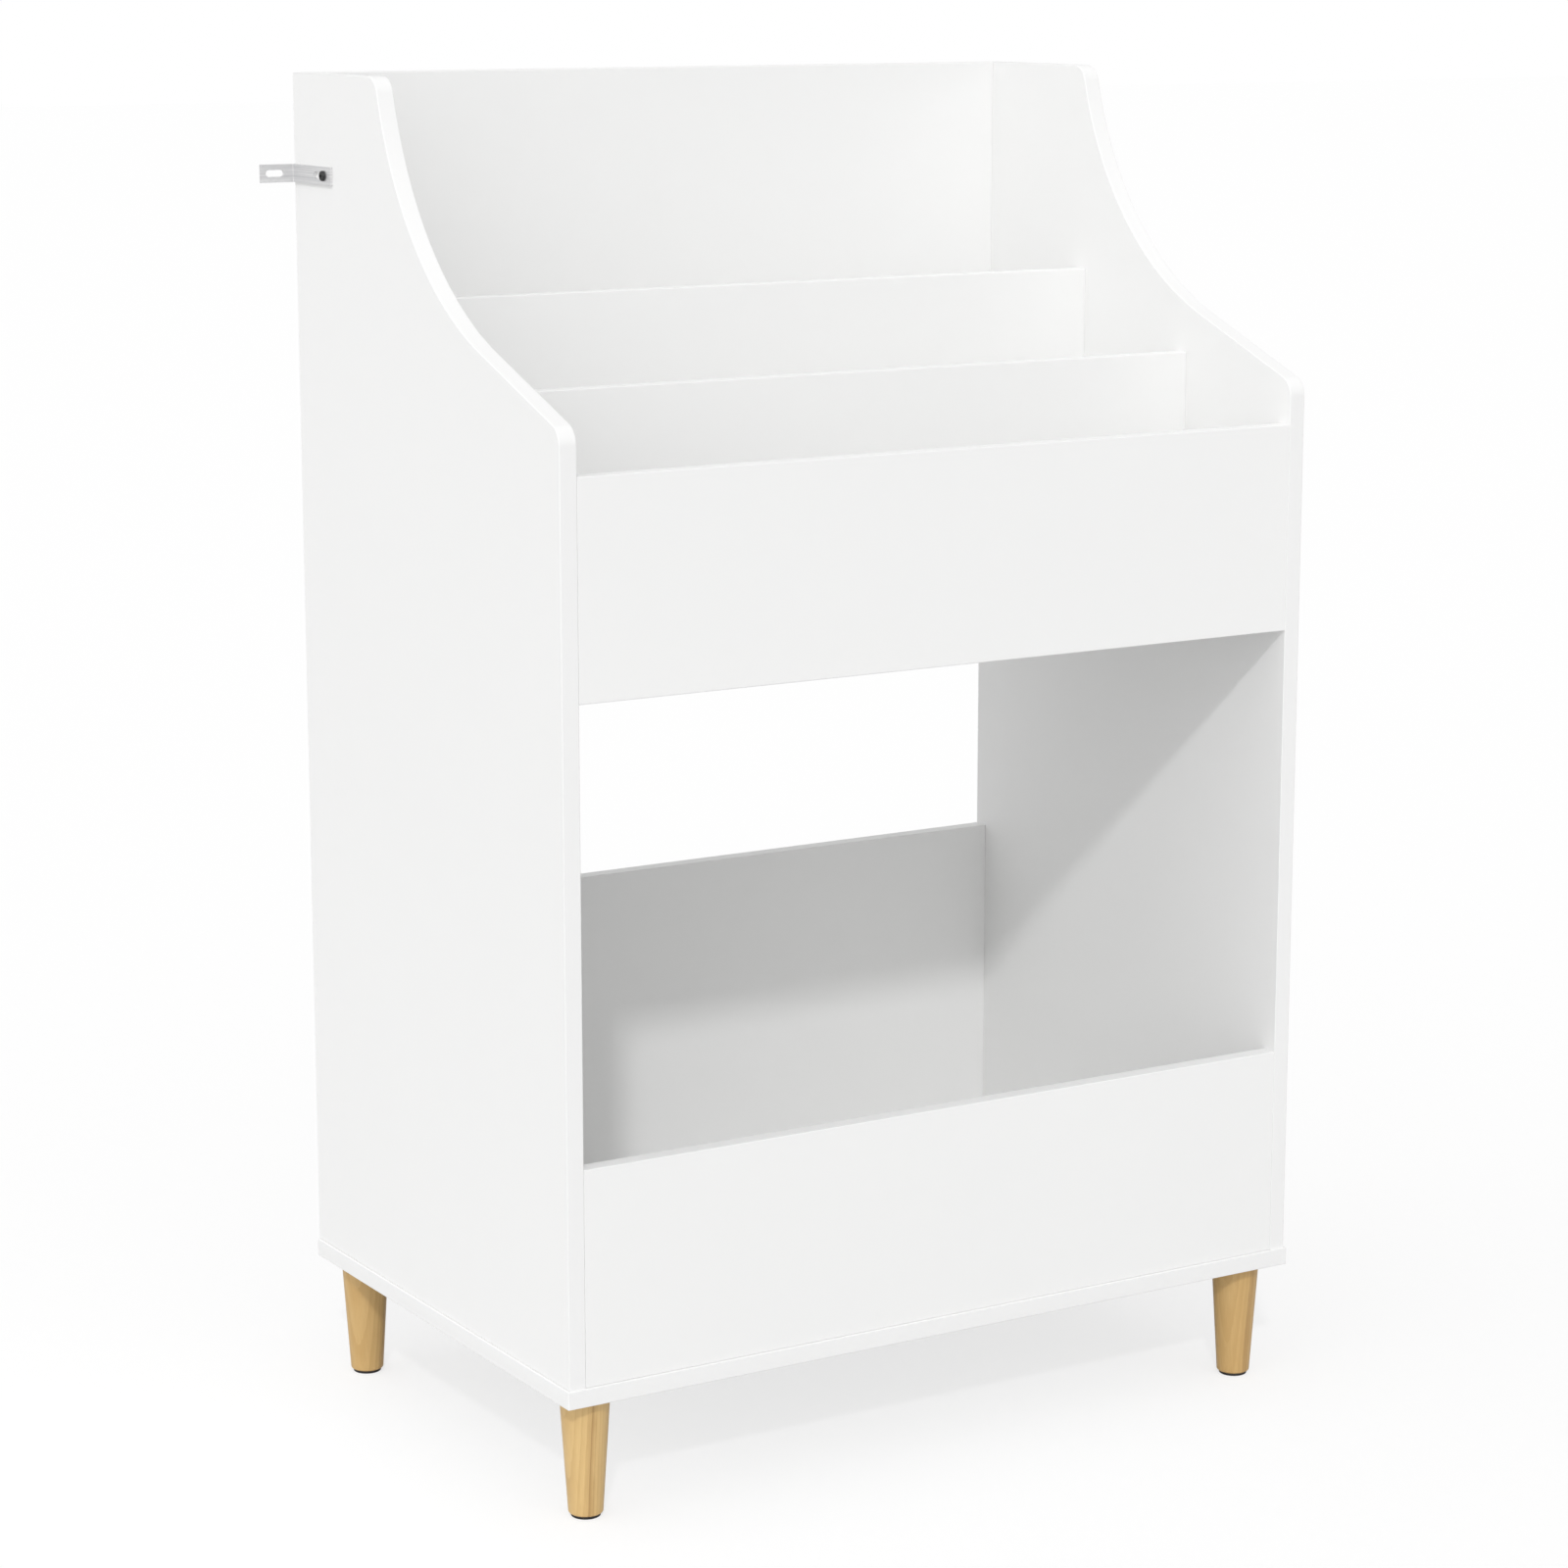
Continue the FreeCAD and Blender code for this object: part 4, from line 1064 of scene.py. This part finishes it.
# Bracket screws: black steel screws with rounded pan heads and a cross slot. One at the front end
# of each side arm's slot holds the bracket to the side panel.
pan_head = 0.0085
pan_height = 0.0022
pan_round = 0.0013
pan_steps = 6
pan_shank = 0.004
pan_shank_length = 0.013
pan_cross_long = 0.0048
pan_cross_wide = 0.0012
pan_cross_deep = 0.0012
black_dark = (0.010, 0.010, 0.011, 1)
black_light = (0.026, 0.026, 0.027, 1)
black_roughness = (0.35, 0.6)
pan_screw = new_rod("bracket_screw_pattern", pan_head, -pan_height, 0)
start_edit(pan_screw)
pick_edges(pan_screw, lambda a, b: min(a.z, b.z) > -joint_round)
round_edges(pan_round, pan_steps)
pick_faces(pan_screw, looks_down)
bpy.ops.mesh.inset(thickness=(pan_head - pan_shank) / 2, depth=0)
extrude((0, 0, -pan_shank_length))
end_edit()
cross_slot(pan_screw, 0, pan_cross_long, pan_cross_wide, pan_cross_deep)
even_shading(pan_screw)
black_finish, tree, shader = new_finish("black_oxide_steel")
bloom = noise(tree, in_piece(tree), scale=900.0, detail=3.0)
feed(tree, shader, {
    "Base Color": mix_tones(tree, bloom, black_dark, black_light),
    "Roughness": remap(tree, bloom, (0.0, 1.0), black_roughness)})
for side_name, side_sign in both_sides:
    head_face = (side_sign * screw_high.x, screw_spot.y, screw_spot.z)
    placed = copy_piece(pan_screw, side_name + "_bracket_screw", head_face,
                        (0, side_sign * quarter_turn, 0))
    hand_over(placed, black_finish, "black_steel", "bracket_screws")
bpy.data.objects.remove(pan_screw)


# The stage: a plain pale floor that keeps a soft shadow, soft light that is strongest from the
# front left and above, and a low sun from the front left that puts the diagonal shadow into the
# open bay.
scene = bpy.context.scene
scene.view_settings.view_transform = "Standard"
floor_size = 60
floor_bounce = 0.7
floor_seen = 0.99
shadow_share = 0.3
white = (1, 1, 1, 1)
floor = new_piece("studio_floor", bpy.ops.mesh.primitive_plane_add,
                  size=floor_size, location=(0, 0, 0))
floor_finish, tree, shader = new_finish("studio_floor_paint")
seen = wire(tree, "LightPath").outputs["Is Camera Ray"]
feed(tree, shader, {
    "Base Color": mix_tones(tree, seen, (floor_bounce, floor_bounce, floor_bounce, 1),
                            (floor_seen, floor_seen, floor_seen, 1)),
    "Roughness": 0.9, "Specular IOR Level": 0.1})
glow = wire(tree, "Emission", {"Color": white, "Strength": 1.0})
blended = wire(tree, "MixShader", {0: calc(tree, "MULTIPLY", seen, 1 - shadow_share),
                                   1: shader.outputs[0], 2: glow.outputs[0]})
feed(tree, tree.nodes["Material Output"], {"Surface": blended.outputs[0]})
floor.data.materials.append(floor_finish)

sky_level = 0.61
sky_tilt = (-0.5, -0.25, 0.335)
sky_least = 0.15
glossy_share = 0.8
world = bpy.data.worlds.new("studio_light")
world.use_nodes = True
scene.world = world
tree = world.node_tree
tree.nodes.clear()
sky_way = wire(tree, "TexCoord").outputs["Generated"]
sky_slope = wire(tree, "VectorMath", {0: sky_way, 1: sky_tilt},
                 operation="DOT_PRODUCT").outputs["Value"]
sky_light = calc(tree, "MAXIMUM", calc(tree, "ADD", sky_slope, sky_level), sky_least)
soft_sky = wire(tree, "Background", {"Color": white, "Strength": sky_light})
white_wall = wire(tree, "Background", {"Color": white, "Strength": 1.0})
ray = wire(tree, "LightPath").outputs
seen = calc(tree, "MULTIPLY_ADD", ray["Is Glossy Ray"], glossy_share, ray["Is Camera Ray"])
both = wire(tree, "MixShader", {0: seen, 1: soft_sky.outputs[0], 2: white_wall.outputs[0]})
wire(tree, "OutputWorld", {"Surface": both.outputs[0]})

sun_way = Vector((0.43, 0.675, -0.595))
sun_distance = 3
sun_strength = 0.89
sun_spread = math.radians(3)
bpy.ops.object.light_add(type="SUN", location=-sun_distance * sun_way,
                         rotation=sun_way.to_track_quat("-Z", "Y").to_euler())
sun = bpy.context.object
sun.name = "low_sun"
sun.data.energy = sun_strength
sun.data.angle = sun_spread

camera_place = (-1.793, -2.9167, 1.2181)
camera_dip = 11.418
camera_turn = -31.341
camera_lens = 93.88
film_width = 36
bpy.ops.object.camera_add(location=camera_place, rotation=(
    math.radians(90 - camera_dip), 0, math.radians(camera_turn)))
camera = bpy.context.object
camera.name = "photo_camera"
camera.data.sensor_width = film_width
camera.data.lens = camera_lens
scene.camera = camera
